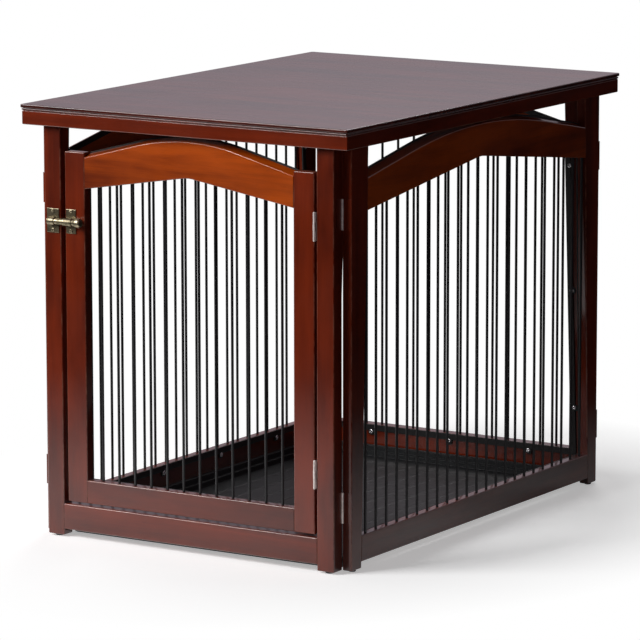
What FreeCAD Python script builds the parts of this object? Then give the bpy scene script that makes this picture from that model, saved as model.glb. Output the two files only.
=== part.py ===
import FreeCAD, Part
import math
import os

V = FreeCAD.Vector
os.makedirs("parts", exist_ok=True)

# Frame: origin on the floor under the middle of the table. +Z up, the door faces -Y.
# All lengths in mm, all angles in degrees.

# Heights
TOTAL_H = 665.0            # floor to the top of the board
BOARD_T = 9.0              # thickness of the moulded board
APRON_H = 22.0             # drop of the rim under the board
GLIDE_H = 3.0              # plastic glide under each post
GLIDE_R = 7.0
SIDE_GLIDE_R = 5.5         # under the thinner side posts
RAIL_LOW_Z = 12.5          # underside of the bottom rails
RAIL_H = 40.0              # height of the bottom rails

# Plan
PANEL_W = 516.0            # front and back panels, post to post
SIDE_W = 754.0             # side panels, post to post
FRONT_T = 22.0             # thickness of the front and back panels
SIDE_T = 15.5              # thickness of the side panels
CORNER_GAP = 1.5           # between a front post's end and a side panel's inner face

# Posts
FRONT_POST_W = 30.0        # straight posts beside the door
POST_W_FLOOR = 28.0        # tapered posts of the other panels, at the floor
POST_W_TOP = 48.5          # and under the board
POST_EASE = 1.6            # flat that eases the posts' long edges
RAIL_EASE = 1.0            # the same on the rails

# Arched rails: outer top edge is an arc, the top slopes up towards the inside
ARCH_BEVEL = 5.0           # rise of the arched rail's top across its thickness
NARROW_ARCH_R = 520.0      # arc of the door's and the back panel's top rail
SIDE_ARCH_R = 1600.0       # arc of the side panels' top rail
DOOR_ARCH_DROP = 9.0       # from the rim's lower edge down to the crown of the door's arc
BACK_ARCH_DROP = 12.5      # to the crown of the back arc
SIDE_ARCH_DROP = 15.5      # to the crown of the side arc
DOOR_UNDER_DROP = 65.0     # to the peak of the door and back rails' underside
SIDE_UNDER_DROP = 57.0     # to the peak of the side rail's underside
NARROW_UNDER_SLOPE = 0.158 # fall of the underside towards the posts
SIDE_UNDER_SLOPE = 0.122
UNDER_SOFTEN_R = 260.0     # radius that softens the underside's peak

# Joinery
TENON_L = 12.0
TENON_T = 7.0
TENON_INSET = 7.0          # shoulder above and below each tenon
MORTISE_GAP = 0.1          # clearance all round a tenon
ARCH_END_H = 46.0          # end height of a panel's arched rail that carries the tenon
DOOR_ARCH_END_H = 50.0     # the same on the door
HEAD_SHOULDER = 5.0        # above and below the head rail's tenon

# Bars
BAR_R = 2.1
BAR_HOLE_R = 2.15
BAR_SEAT = 8.0             # depth of each bar in the rails
SIDE_BARS = 23
SIDE_BAR_EDGE = 47.55      # from the panel's end to its first bar
SIDE_BAR_IN = 5.75         # bar axis behind the side panel's outer face
BACK_BARS = 14
BACK_BAR_EDGE = 62.025
BACK_BAR_IN = 13.0
DOOR_BARS = 12
DOOR_BAR_EDGE = 60.8

# Steel lining round the inside of each opening
LINING_T = 2.0
LINING_W = 10.0
LINING_RISE = 2.0          # above the arched rail's top
EAR_R = 6.0                # screw ears
EAR_LOW_Z = 120.0          # ears up each side
EAR_MID_Z = 312.0
EAR_TOP_DROP = 119.0       # from the rim's lower edge down to the highest ears
EAR_EDGE = 1.5             # ears set in from the strip's outer edge
EAR_BELOW = 2.0            # ears set below the bottom strip
SIDE_END_EAR = 127.0       # from the side panel's end to the first ear of the bottom strip
SIDE_MID_EAR = 83.0        # from the middle to the next
BACK_EAR = 150.0
DOOR_EAR = 110.0
LINING_SCREW_R = 3.6
LINING_SCREW_H = 1.4

# Door
DOOR_GAP = 5.5             # between each stile and its post
DOOR_RECESS = 3.0          # door face behind the posts' faces
DOOR_T = 16.0
STILE_W = 36.5
STILE_DROP = 38.0          # from the rim's lower edge down to the stiles' tops
DOOR_FLOOR_GAP = 4.0       # above the front bottom rail
DOOR_RAIL_H = 36.0

# Top
TOP_CLEARANCE_X = 1.5      # between the side panels and the rim
TOP_CLEARANCE_Y = 1.0
APRON_T = 12.0
LIP = 2.5                  # the board stands past the rim by this
LIP_EASE = 2.0
BEAD_H = 3.0               # recessed line under the board
BEAD_D = 1.5
HEAD_RAIL_H = 18.0
BLOCK_H = 18.0             # corner blocks under the board
BLOCK_GAP_Y = 4.9          # between a side panel's end and a block

# Tray
TRAY_GAP_X = 6.5           # between the tray and the side panels
TRAY_GAP_Y = 6.0           # between the tray and the front and back panels
TRAY_H = 20.0
TRAY_T = 2.5
TRAY_FLANGE = 8.0
TRAY_LEDGE = 6.0
TRAY_LEDGE_Z = 11.0
TRAY_RIB_H = 1.0
TRAY_RIB_W = 5.0
TRAY_RIBS = 11
TRAY_RIB_END = 30.0        # the ribs end short of the floor's edge
TRAY_RIB_SINK = 0.5        # the ribs reach into the floor

# Hinges
LEAF_T = 1.0
DOOR_HINGE_L = 41.0
DOOR_HINGE_LOW_Z = 148.0
DOOR_HINGE_DROP = 117.0    # from the rim's lower edge down to the upper hinge
DOOR_KNUCKLE_R = 2.5
DOOR_LEAF_W = 12.0
CORNER_HINGE_L = 46.0
CORNER_HINGE_LOW_Z = 98.0
CORNER_HINGE_DROP = 99.0
CORNER_KNUCKLE_R = 2.2
CORNER_LEAF_W = 13.0
PIN_SHARE = 0.5            # pin radius as a share of the knuckle's
PIN_HEAD_SHARE = 0.85
PIN_HEAD_H = 1.2
PIN_CLEARANCE = 0.05
KNUCKLE_GAP = 0.3
LEAF_CLEARANCE = 0.35      # between a leaf's notch and the other leaf's knuckle

# Slide bolt
BOLT_R = 4.75
BOLT_CLEARANCE = 0.1
BOLT_DROP = 144.5          # from the rim's lower edge down to the bolt
PLATE_T = 1.5
PLATE_H = 37.0
KEEPER_IN = 3.0            # keeper's edge from the left post's inner edge
KEEPER_W = 22.0
KEEPER_LOOP_IN = 7.0
KEEPER_LOOP_W = 12.0
PLATE_IN = 2.5             # body plate's edge from the left stile's outer edge
PLATE_W = 18.0
BARREL_EDGE = 1.0          # barrel shorter than its plate at each end
BARREL_R = 6.6
BARREL_LIFT = 1.1          # barrel clear of its plate
BARREL_WEB_H = 7.0         # web that joins the barrel to its plate
BOLT_REACH = 15.0          # bolt's tip past the left post's inner edge
KNOB_GAP = 2.0             # between the plate and the knob
KNOB_L = 13.0
KNOB_R = 8.5
BOLT_EASE = 1.2
KNOB_EASE = 1.8
LATCH_SCREW_R = 3.2
LATCH_SCREW_H = 1.2
LATCH_SCREW_DZ = 14.8

# Flat sides that stand for a round form, so that what repeats stays light
SMALL_SIDES = 6            # bars, screws, ears, glides and corner hinges
PIN_SIDES = 12             # door hinges
LATCH_SIDES = 16
TRAY_CORNER_FLATS = 3

# Derived positions
RAIL_TOP_Z = RAIL_LOW_Z + RAIL_H
APRON_TOP_Z = TOTAL_H - BOARD_T
APRON_LOW_Z = APRON_TOP_Z - APRON_H
FRONT_Y = -(SIDE_W / 2 + FRONT_T)                 # face of the front posts
SIDE_X = PANEL_W / 2 + CORNER_GAP + SIDE_T        # outer face of the side panels
DOOR_Y = FRONT_Y + DOOR_RECESS
FRONT_OPEN = PANEL_W / 2 - FRONT_POST_W
DOOR_HALF = FRONT_OPEN - DOOR_GAP
DOOR_LOW_Z = RAIL_TOP_Z + DOOR_FLOOR_GAP
DOOR_RAIL_TOP_Z = DOOR_LOW_Z + DOOR_RAIL_H
DOOR_ARCH_Z = APRON_LOW_Z - DOOR_ARCH_DROP
BACK_ARCH_Z = APRON_LOW_Z - BACK_ARCH_DROP
SIDE_ARCH_Z = APRON_LOW_Z - SIDE_ARCH_DROP
DOOR_UNDER_Z = APRON_LOW_Z - DOOR_UNDER_DROP
SIDE_UNDER_Z = APRON_LOW_Z - SIDE_UNDER_DROP
STILE_TOP_Z = APRON_LOW_Z - STILE_DROP
EAR_Z = (EAR_LOW_Z, EAR_MID_Z, APRON_LOW_Z - EAR_TOP_DROP)
SIDE_PITCH = (SIDE_W - 2 * SIDE_BAR_EDGE) / (SIDE_BARS - 1)
BACK_PITCH = (PANEL_W - 2 * BACK_BAR_EDGE) / (BACK_BARS - 1)
DOOR_PITCH = (2 * DOOR_HALF - 2 * DOOR_BAR_EDGE) / (DOOR_BARS - 1)
DOOR_HINGE_Z = (DOOR_HINGE_LOW_Z, APRON_LOW_Z - DOOR_HINGE_DROP)
CORNER_HINGE_Z = (CORNER_HINGE_LOW_Z, APRON_LOW_Z - CORNER_HINGE_DROP)
TRAY_X = PANEL_W + 2 * CORNER_GAP - 2 * TRAY_GAP_X
TRAY_Y = SIDE_W - 2 * TRAY_GAP_Y
BOLT_Y = DOOR_Y - PLATE_T - BARREL_R - BARREL_LIFT
BOLT_Z = APRON_LOW_Z - BOLT_DROP
KEEPER_X = (-FRONT_OPEN - KEEPER_IN - KEEPER_W, -FRONT_OPEN - KEEPER_IN)
KEEPER_LOOP_X = (-FRONT_OPEN - KEEPER_LOOP_IN - KEEPER_LOOP_W, -FRONT_OPEN - KEEPER_LOOP_IN)
PLATE_X = (-DOOR_HALF + PLATE_IN, -DOOR_HALF + PLATE_IN + PLATE_W)
BARREL_X = (PLATE_X[0] + BARREL_EDGE, PLATE_X[1] - BARREL_EDGE)
BOLT_TIP_X = -FRONT_OPEN - BOLT_REACH
KNOB_X = (PLATE_X[1] + KNOB_GAP, PLATE_X[1] + KNOB_GAP + KNOB_L)


def box(x0, x1, y0, y1, z0, z1):
    return Part.makeBox(x1 - x0, y1 - y0, z1 - z0, V(x0, y0, z0))


def rod(radius, length, start, direction, sides=0):
    """Round rod, or one with flat sides whose corners lie at the radius."""
    axis = V(*direction)
    if sides == 0:
        return Part.makeCylinder(radius, length, V(*start), axis)
    across = V(1, 0, 0) if abs(axis.z) > 0.5 else V(0, 0, 1)
    corners = []
    for i in range(sides + 1):
        turn = FreeCAD.Rotation(axis, 360.0 * (i % sides + 0.5) / sides)
        corners.append(V(*start) + turn.multVec(across * radius))
    return Part.Face(Part.makePolygon(corners)).extrude(axis * length)


def prism_xz(points, y0, y1):
    """Extrude an outline drawn in X and Z from y0 to y1."""
    wire = Part.makePolygon([V(x, y0, z) for x, z in points + points[:1]])
    return Part.Face(wire).extrude(V(0, y1 - y0, 0))


def ease(shape, size, wanted):
    """Chamfer the edges that wanted(start, end) picks."""
    picked = []
    for edge in shape.Edges:
        a, b = edge.Vertexes[0].Point, edge.Vertexes[-1].Point
        if wanted(a, b):
            picked.append(edge)
    return shape.makeChamfer(size, picked)


def export(name, shapes):
    """Write one node. A list of several pieces is kept as separate solids."""
    pieces = shapes if isinstance(shapes, list) else [shapes]
    solids = [s for piece in pieces for s in piece.Solids]
    whole = solids[0] if len(solids) == 1 else Part.makeCompound(solids)
    whole.exportStep("parts/%s.step" % name)


def turned(shapes, angle, shift):
    """Copy of the pieces, turned about Z through the origin and then moved."""
    out = []
    for shape in shapes if isinstance(shapes, list) else [shapes]:
        copy = shape.copy()
        copy.rotate(V(0, 0, 0), V(0, 0, 1), angle)
        copy.translate(V(*shift))
        out.append(copy)
    return out


def underside(half, peak_z, slope):
    """Edge list of the gabled underside from -half to +half, with a softened peak."""
    tilt = math.atan(slope)
    reach = UNDER_SOFTEN_R * math.sin(tilt)
    drop = UNDER_SOFTEN_R * (1 - math.cos(tilt))
    end_z = peak_z - drop - slope * (half - reach)
    left, right = V(-reach, 0, peak_z - drop), V(reach, 0, peak_z - drop)
    return [Part.LineSegment(V(-half, 0, end_z), left).toShape(),
            Part.Arc(left, V(0, 0, peak_z), right).toShape(),
            Part.LineSegment(right, V(half, 0, end_z)).toShape()], end_z


def under_face(half, peak_z, slope, floor_z, y0, y1):
    """Solid that fills the opening: from floor_z up to the gabled underside."""
    edges, end_z = underside(half, peak_z, slope)
    edges += [Part.LineSegment(V(half, 0, end_z), V(half, 0, floor_z)).toShape(),
              Part.LineSegment(V(half, 0, floor_z), V(-half, 0, floor_z)).toShape(),
              Part.LineSegment(V(-half, 0, floor_z), V(-half, 0, end_z)).toShape()]
    face = Part.Face(Part.Wire(Part.__sortEdges__(edges)))
    face.translate(V(0, y0, 0))
    return face.extrude(V(0, y1 - y0, 0))


def arch_cone(crown_z, radius, y0, y1, grow=0.0, bevel=ARCH_BEVEL):
    """Everything under the arched top: radius grows by the bevel from outside to inside."""
    centre = (0, y0, crown_z - radius)
    if bevel == 0:
        return rod(radius + grow, y1 - y0, centre, (0, 1, 0))
    return Part.makeCone(radius + grow, radius + bevel + grow, y1 - y0, V(*centre), V(0, 1, 0))


def tenon(side, half, thick, z0, z1, gap=0.0):
    """Tongue at a rail's left (-1) or right (+1) end, reaching past x = half."""
    mid = thick / 2
    x0, x1 = sorted((side * (half - 1), side * (half + TENON_L + gap)))
    return box(x0, x1, mid - TENON_T / 2 - gap, mid + TENON_T / 2 + gap, z0 - gap, z1 + gap)


def post_width(z, straight=None):
    """Width of a tapered post at height z, or the straight width."""
    if straight is not None:
        return straight
    return POST_W_FLOOR + (POST_W_TOP - POST_W_FLOOR) * z / APRON_TOP_Z


def opening_half(width, z, straight=None):
    return width / 2 - post_width(z, straight)


def tapered_block(width, z0, z1, y0, y1, straight=None, inset=0.0):
    """The space between two posts from z0 to z1, narrowed by inset at each side."""
    a = opening_half(width, z0, straight) - inset
    b = opening_half(width, z1, straight) - inset
    return prism_xz([(-a, z0), (a, z0), (b, z1), (-b, z1)], y0, y1)


def make_posts(width, thick, straight=None):
    """Left and right post, before the mortises are cut."""
    out = []
    for side in (-1, 1):
        outer = side * width / 2
        low = outer - side * post_width(GLIDE_H, straight)
        high = outer - side * post_width(APRON_TOP_Z, straight)
        post = prism_xz([(outer, GLIDE_H), (low, GLIDE_H), (high, APRON_TOP_Z),
                         (outer, APRON_TOP_Z)], 0, thick)
        post = ease(post, POST_EASE, lambda a, b: abs(a.z - b.z) > 100)
        out.append(post)
    return out


def make_bottom_rail(width, thick, straight=None):
    rail = tapered_block(width, RAIL_LOW_Z, RAIL_TOP_Z, 0, thick, straight)
    rail = ease(rail, RAIL_EASE, lambda a, b: abs(a.x - b.x) > 100)
    return rail


def make_arch_rail(width, thick, crown_z, radius, under_z, slope, straight=None):
    rail = tapered_block(width, RAIL_TOP_Z, APRON_TOP_Z, 0, thick, straight)
    rail = rail.common(arch_cone(crown_z, radius, 0, thick))
    return rail.cut(under_face(width / 2, under_z, slope, RAIL_TOP_Z - 10, -1, thick + 1))


def join(posts, rail, half_low, half_high, thick, z0, z1):
    """Add a tenon at each end of the rail and cut its mortise in the post."""
    low, high = z0 + TENON_INSET, z1 - TENON_INSET
    half = min(half_low, half_high)
    for i, side in enumerate((-1, 1)):
        posts[i] = posts[i].cut(tenon(side, half, thick, low, high, MORTISE_GAP))
        rail = rail.fuse(tenon(side, half, thick, low, high)).removeSplitter()
    return rail


def bar_row(count, pitch):
    return [(i - (count - 1) / 2) * pitch for i in range(count)]


def bar_top(x, under_z, slope):
    """Height of the gabled underside above x."""
    tilt = math.atan(slope)
    reach = UNDER_SOFTEN_R * math.sin(tilt)
    if abs(x) < reach:
        return under_z - UNDER_SOFTEN_R + math.sqrt(UNDER_SOFTEN_R ** 2 - x ** 2)
    return under_z - UNDER_SOFTEN_R * (1 - math.cos(tilt)) - slope * (abs(x) - reach)


def make_bars(count, pitch, y, low_z, under_z, slope):
    """Bars and the cutter for their blind holes."""
    bars, holes = [], []
    for x in bar_row(count, pitch):
        start = low_z - BAR_SEAT
        end = bar_top(x, under_z, slope) + BAR_SEAT
        bars.append(rod(BAR_R, end - start, (x, y, start), (0, 0, 1), SMALL_SIDES))
        holes.append(rod(BAR_HOLE_R, end - start, (x, y, start), (0, 0, 1), SMALL_SIDES))
    return bars, Part.makeCompound(holes)


def ear_places(half_low, half_high, low_z, high_z, side_z, bottom_x):
    """Screw positions: up both sides and along the bottom strip."""
    places = []
    for z in side_z:
        share = (z - low_z) / (high_z - low_z)
        half = half_low + (half_high - half_low) * share
        places += [(-half - LINING_W + EAR_EDGE, z), (half + LINING_W - EAR_EDGE, z)]
    places += [(x, low_z - LINING_W - EAR_BELOW) for x in bottom_x]
    return places


def make_lining(half_low, half_high, low_z, crown_z, radius, under_z, slope, y, places):
    """Steel sheet with screw ears on the inner face, round the opening and up the arch."""
    high_z = APRON_TOP_Z
    y0, y1 = y, y + LINING_T

    def flare(extra):
        return prism_xz([(-half_low - extra, low_z - extra), (half_low + extra, low_z - extra),
                         (half_high + extra, high_z), (-half_high - extra, high_z)], y0, y1)

    top = arch_cone(crown_z, radius, y0, y1, ARCH_BEVEL + LINING_RISE, 0.0)
    sheet = flare(LINING_W).common(top)
    opening = flare(0.0).common(under_face(half_low + 40, under_z, slope, low_z, y0 - 1, y1 + 1))
    wood_top = arch_cone(crown_z, radius, y0 - 1, y1 + 1, ARCH_BEVEL - LINING_W + LINING_RISE, 0.0)
    above = under_face(half_low + 40, under_z + LINING_W, slope, low_z, y0 - 1, y1 + 1)
    window = flare(0.0).common(wood_top).cut(above)
    sheet = sheet.cut(opening).cut(window)
    for x, z in places:
        sheet = sheet.fuse(rod(EAR_R, LINING_T, (x, y0, z), (0, 1, 0), SMALL_SIDES))
    sheet = sheet.cut(opening).removeSplitter()
    screws = [rod(LINING_SCREW_R, LINING_SCREW_H, (x, y1, z), (0, 1, 0), SMALL_SIDES)
              for x, z in places]
    return sheet, screws


def make_panel(width, thick, count, pitch, bar_in, crown_z, radius, under_z, slope, ear_x):
    """Fixed panel in its own frame: outer face at y = 0, inner face at y = thick."""
    posts = make_posts(width, thick)
    low_rail = make_bottom_rail(width, thick)
    arch = make_arch_rail(width, thick, crown_z, radius, under_z, slope)
    low_rail = join(posts, low_rail, opening_half(width, RAIL_LOW_Z),
                    opening_half(width, RAIL_TOP_Z), thick, RAIL_LOW_Z, RAIL_TOP_Z)
    arch_low = bar_top(width / 2 - POST_W_TOP, under_z, slope)
    arch_high = arch_low + ARCH_END_H
    arch = join(posts, arch, opening_half(width, arch_low), opening_half(width, arch_high),
                thick, arch_low, arch_high)
    bars, holes = make_bars(count, pitch, bar_in, RAIL_TOP_Z, under_z, slope)
    low_rail = low_rail.cut(holes)
    arch = arch.cut(holes)
    half_low = opening_half(width, RAIL_TOP_Z)
    half_high = opening_half(width, APRON_TOP_Z)
    places = ear_places(half_low, half_high, RAIL_TOP_Z, APRON_TOP_Z, EAR_Z, ear_x)
    lining, screws = make_lining(half_low, half_high, RAIL_TOP_Z, crown_z, radius, under_z,
                                 slope, thick, places)
    return posts, low_rail, arch, bars, lining, screws


# Side panels: the left one is the right one turned half round the middle
end_ear = SIDE_W / 2 - SIDE_END_EAR
side_ears = (-end_ear, -SIDE_MID_EAR, SIDE_MID_EAR, end_ear)
s_posts, s_low, s_arch, s_bars, s_lining, s_screws = make_panel(
    SIDE_W, SIDE_T, SIDE_BARS, SIDE_PITCH, SIDE_BAR_IN, SIDE_ARCH_Z, SIDE_ARCH_R,
    SIDE_UNDER_Z, SIDE_UNDER_SLOPE, side_ears)
frame_screws = []
for label, angle, shift in (("right", 90, (SIDE_X, 0, 0)), ("left", -90, (-SIDE_X, 0, 0))):
    first, second = ("front", "rear") if label == "right" else ("rear", "front")
    export("%s_post_%s" % (label, first), turned(s_posts[0], angle, shift))
    export("%s_post_%s" % (label, second), turned(s_posts[1], angle, shift))
    export("%s_bottom_rail" % label, turned(s_low, angle, shift))
    export("%s_arch_rail" % label, turned(s_arch, angle, shift))
    export("%s_bars" % label, turned(s_bars, angle, shift))
    export("%s_lining" % label, turned(s_lining, angle, shift))
    frame_screws += turned(s_screws, angle, shift)

# Back panel
b_posts, b_low, b_arch, b_bars, b_lining, b_screws = make_panel(
    PANEL_W, FRONT_T, BACK_BARS, BACK_PITCH, BACK_BAR_IN, BACK_ARCH_Z, NARROW_ARCH_R, DOOR_UNDER_Z,
    NARROW_UNDER_SLOPE, (-BACK_EAR, 0, BACK_EAR))
back_shift = (0, -FRONT_Y, 0)
export("back_post_right", turned(b_posts[0], 180, back_shift))
export("back_post_left", turned(b_posts[1], 180, back_shift))
export("back_bottom_rail", turned(b_low, 180, back_shift))
export("back_arch_rail", turned(b_arch, 180, back_shift))
export("back_bars", turned(b_bars, 180, back_shift))
export("back_lining", turned(b_lining, 180, back_shift))
frame_screws += turned(b_screws, 180, back_shift)
export("lining_screws_frame", frame_screws)

# Front panel: two straight posts, a bottom rail and a head rail hidden by the top's rim
f_posts = make_posts(PANEL_W, FRONT_T, FRONT_POST_W)
f_low = make_bottom_rail(PANEL_W, FRONT_T, FRONT_POST_W)
f_low = join(f_posts, f_low, FRONT_OPEN, FRONT_OPEN, FRONT_T, RAIL_LOW_Z, RAIL_TOP_Z)
head_z = APRON_TOP_Z - HEAD_RAIL_H
f_head = box(-FRONT_OPEN, FRONT_OPEN, 0, FRONT_T, head_z, APRON_TOP_Z)
tongue = box(-FRONT_OPEN - TENON_L, FRONT_OPEN + TENON_L, FRONT_T / 2 - TENON_T / 2,
             FRONT_T / 2 + TENON_T / 2, head_z + HEAD_SHOULDER, APRON_TOP_Z - HEAD_SHOULDER)
slot = box(-FRONT_OPEN - TENON_L - MORTISE_GAP, FRONT_OPEN + TENON_L + MORTISE_GAP,
           FRONT_T / 2 - TENON_T / 2 - MORTISE_GAP, FRONT_T / 2 + TENON_T / 2 + MORTISE_GAP,
           head_z + HEAD_SHOULDER - MORTISE_GAP, APRON_TOP_Z - HEAD_SHOULDER + MORTISE_GAP)
f_head = f_head.fuse(tongue).removeSplitter()
f_posts = [post.cut(slot) for post in f_posts]
front_shift = (0, FRONT_Y, 0)
export("front_post_left", turned(f_posts[0], 0, front_shift))
export("front_post_right", turned(f_posts[1], 0, front_shift))
export("front_bottom_rail", turned(f_low, 0, front_shift))
export("front_head_rail", turned(f_head, 0, front_shift))

# Door: stiles, bottom rail, arched top rail, bars and lining
door_open = DOOR_HALF - STILE_W
stiles = []
for side in (-1, 1):
    x0, x1 = sorted((side * door_open, side * DOOR_HALF))
    stile = box(x0, x1, 0, DOOR_T, DOOR_LOW_Z, STILE_TOP_Z)
    stiles.append(ease(stile, POST_EASE, lambda a, b: abs(a.z - b.z) > 100))
d_low = box(-door_open, door_open, 0, DOOR_T, DOOR_LOW_Z, DOOR_RAIL_TOP_Z)
d_low = ease(d_low, RAIL_EASE, lambda a, b: abs(a.x - b.x) > 100)
d_low = join(stiles, d_low, door_open, door_open, DOOR_T, DOOR_LOW_Z, DOOR_RAIL_TOP_Z)
d_arch = box(-door_open, door_open, 0, DOOR_T, DOOR_RAIL_TOP_Z, APRON_TOP_Z)
d_arch = d_arch.common(arch_cone(DOOR_ARCH_Z, NARROW_ARCH_R, 0, DOOR_T))
d_arch = d_arch.cut(under_face(door_open + 10, DOOR_UNDER_Z, NARROW_UNDER_SLOPE,
                               DOOR_RAIL_TOP_Z - 10, -1, DOOR_T + 1))
d_arch_low = bar_top(door_open, DOOR_UNDER_Z, NARROW_UNDER_SLOPE)
d_arch = join(stiles, d_arch, door_open, door_open, DOOR_T, d_arch_low,
              d_arch_low + DOOR_ARCH_END_H)
d_bars, d_holes = make_bars(DOOR_BARS, DOOR_PITCH, DOOR_T / 2, DOOR_RAIL_TOP_Z, DOOR_UNDER_Z,
                            NARROW_UNDER_SLOPE)
d_low = d_low.cut(d_holes)
d_arch = d_arch.cut(d_holes)
d_places = ear_places(door_open, door_open, DOOR_RAIL_TOP_Z, APRON_TOP_Z, EAR_Z,
                      (-DOOR_EAR, 0, DOOR_EAR))
d_lining, d_screws = make_lining(door_open, door_open, DOOR_RAIL_TOP_Z, DOOR_ARCH_Z,
                                 NARROW_ARCH_R, DOOR_UNDER_Z, NARROW_UNDER_SLOPE, DOOR_T,
                                 d_places)
door_shift = (0, DOOR_Y, 0)
for name, piece in (("door_stile_left", stiles[0]), ("door_stile_right", stiles[1]),
                    ("door_bottom_rail", d_low), ("door_arch_rail", d_arch),
                    ("door_bars", d_bars), ("door_lining", d_lining),
                    ("lining_screws_door", d_screws)):
    export(name, turned(piece, 0, door_shift))

# Glides under the posts
glides = []
for sx in (-1, 1):
    for sy in (-1, 1):
        for radius, x, y in ((GLIDE_R, PANEL_W / 2 - POST_W_FLOOR / 2, -FRONT_Y - FRONT_T / 2),
                             (SIDE_GLIDE_R, SIDE_X - SIDE_T / 2, SIDE_W / 2 - POST_W_FLOOR / 2)):
            glides.append(rod(radius, GLIDE_H, (sx * x, sy * y, 0), (0, 0, 1), SMALL_SIDES))
export("glides", glides)


def hinge(axis_x, axis_y, z, length, knuckle_r, leaf_a, leaf_b, sides, head_share=0.0):
    """Butt hinge: leaf a carries the end knuckles, leaf b the middle one.

    The pin gets a head at each end where head_share isn't zero."""
    low, third = z - length / 2, length / 3
    pin_r = knuckle_r * PIN_SHARE
    bore_r = (pin_r + PIN_CLEARANCE) / math.cos(math.pi / sides)
    reach = knuckle_r + LEAF_CLEARANCE

    def upright(radius, z0, height):
        return rod(radius, height, (axis_x, axis_y, z0), (0, 0, 1), sides)

    def round_knuckle(z0, height):
        return box(axis_x - reach, axis_x + reach, axis_y - reach, axis_y + reach, z0, z0 + height)

    bore = upright(bore_r, low - 1, length + 2)
    middle_z, middle_h = low + third + KNUCKLE_GAP / 2, third - KNUCKLE_GAP
    ends = leaf_a.cut(round_knuckle(low + third - KNUCKLE_GAP / 2, third + KNUCKLE_GAP))
    for z0 in (low, low + 2 * third + KNUCKLE_GAP / 2):
        ends = ends.fuse(upright(knuckle_r, z0, third - KNUCKLE_GAP / 2))
    middle = leaf_b.cut(round_knuckle(low - 1, third + 1 + KNUCKLE_GAP / 2))
    middle = middle.cut(round_knuckle(middle_z + middle_h, third + 1 + KNUCKLE_GAP / 2))
    middle = middle.fuse(upright(knuckle_r, middle_z, middle_h))
    pin = upright(pin_r, low, length)
    if head_share:
        for z0 in (low - PIN_HEAD_H, low + length):
            pin = pin.fuse(upright(knuckle_r * head_share, z0, PIN_HEAD_H))
    return ends.cut(bore).removeSplitter(), middle.cut(bore).removeSplitter(), pin.removeSplitter()


# Door hinges: knuckles in the gap between the right stile and its post
hinge_x = DOOR_HALF + DOOR_GAP / 2
hinge_y = FRONT_Y - 1.5
post_leaves, door_leaves, pins = [], [], []
for z in DOOR_HINGE_Z:
    z0, z1 = z - DOOR_HINGE_L / 2, z + DOOR_HINGE_L / 2
    on_post = box(FRONT_OPEN - LEAF_T, FRONT_OPEN, hinge_y, hinge_y + DOOR_LEAF_W + 3, z0, z1)
    on_door = box(DOOR_HALF, DOOR_HALF + LEAF_T, hinge_y, hinge_y + DOOR_LEAF_W + 4.5, z0, z1)
    a, b, pin = hinge(hinge_x, hinge_y, z, DOOR_HINGE_L, DOOR_KNUCKLE_R, on_post, on_door,
                      PIN_SIDES, PIN_HEAD_SHARE)
    post_leaves.append(a)
    door_leaves.append(b)
    pins.append(pin)
export("door_hinge_post_leaves", post_leaves)
export("door_hinge_door_leaves", door_leaves)
export("door_hinge_pins", pins)

# Corner hinges: one leaf on the end of the front or back panel, one on the side panel's end
corner_pins = []
axis_x = PANEL_W / 2 + CORNER_KNUCKLE_R
axis_y = SIDE_W / 2 + CORNER_KNUCKLE_R
for sx, sy, label in ((-1, -1, "front_left"), (1, -1, "front_right"), (-1, 1, "rear_left"),
                      (1, 1, "rear_right")):
    end_leaves, side_leaves = [], []
    for z in CORNER_HINGE_Z:
        z0, z1 = z - CORNER_HINGE_L / 2, z + CORNER_HINGE_L / 2
        ax, ay = sx * axis_x, sy * axis_y
        xa = sorted((sx * PANEL_W / 2, sx * (PANEL_W / 2 + LEAF_T)))
        ya = sorted((ay, ay + sy * CORNER_LEAF_W))
        yb = sorted((sy * SIDE_W / 2, sy * (SIDE_W / 2 + LEAF_T)))
        xb = sorted((ax, ax + sx * (CORNER_LEAF_W + 2)))
        a, b, pin = hinge(ax, ay, z, CORNER_HINGE_L, CORNER_KNUCKLE_R,
                          box(xa[0], xa[1], ya[0], ya[1], z0, z1),
                          box(xb[0], xb[1], yb[0], yb[1], z0, z1), SMALL_SIDES)
        end_leaves.append(a)
        side_leaves.append(b)
        corner_pins.append(pin)
    export("corner_leaves_%s_end" % label, end_leaves)
    export("corner_leaves_%s_side" % label, side_leaves)
export("corner_hinge_pins", corner_pins)

# Slide bolt on the left stile and its keeper on the left post
z0, z1 = BOLT_Z - PLATE_H / 2, BOLT_Z + PLATE_H / 2
bore_r = BOLT_R + BOLT_CLEARANCE
keeper = box(KEEPER_X[0], KEEPER_X[1], FRONT_Y - PLATE_T, FRONT_Y, z0, z1)
keeper = keeper.fuse(rod(BARREL_R, KEEPER_LOOP_X[1] - KEEPER_LOOP_X[0],
                         (KEEPER_LOOP_X[0], BOLT_Y, BOLT_Z), (1, 0, 0), LATCH_SIDES))
keeper = keeper.cut(box(KEEPER_X[0], KEEPER_X[1], FRONT_Y, FRONT_Y + 5, z0, z1))
keeper = keeper.cut(rod(bore_r, 40, (KEEPER_X[0] - 5, BOLT_Y, BOLT_Z), (1, 0, 0), LATCH_SIDES))
export("latch_keeper", keeper.removeSplitter())
body = box(PLATE_X[0], PLATE_X[1], DOOR_Y - PLATE_T, DOOR_Y, z0, z1)
body = body.fuse(box(BARREL_X[0], BARREL_X[1], BOLT_Y, DOOR_Y, BOLT_Z - BARREL_WEB_H / 2,
                     BOLT_Z + BARREL_WEB_H / 2))
body = body.fuse(rod(BARREL_R, BARREL_X[1] - BARREL_X[0], (BARREL_X[0], BOLT_Y, BOLT_Z),
                     (1, 0, 0), LATCH_SIDES))
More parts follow.
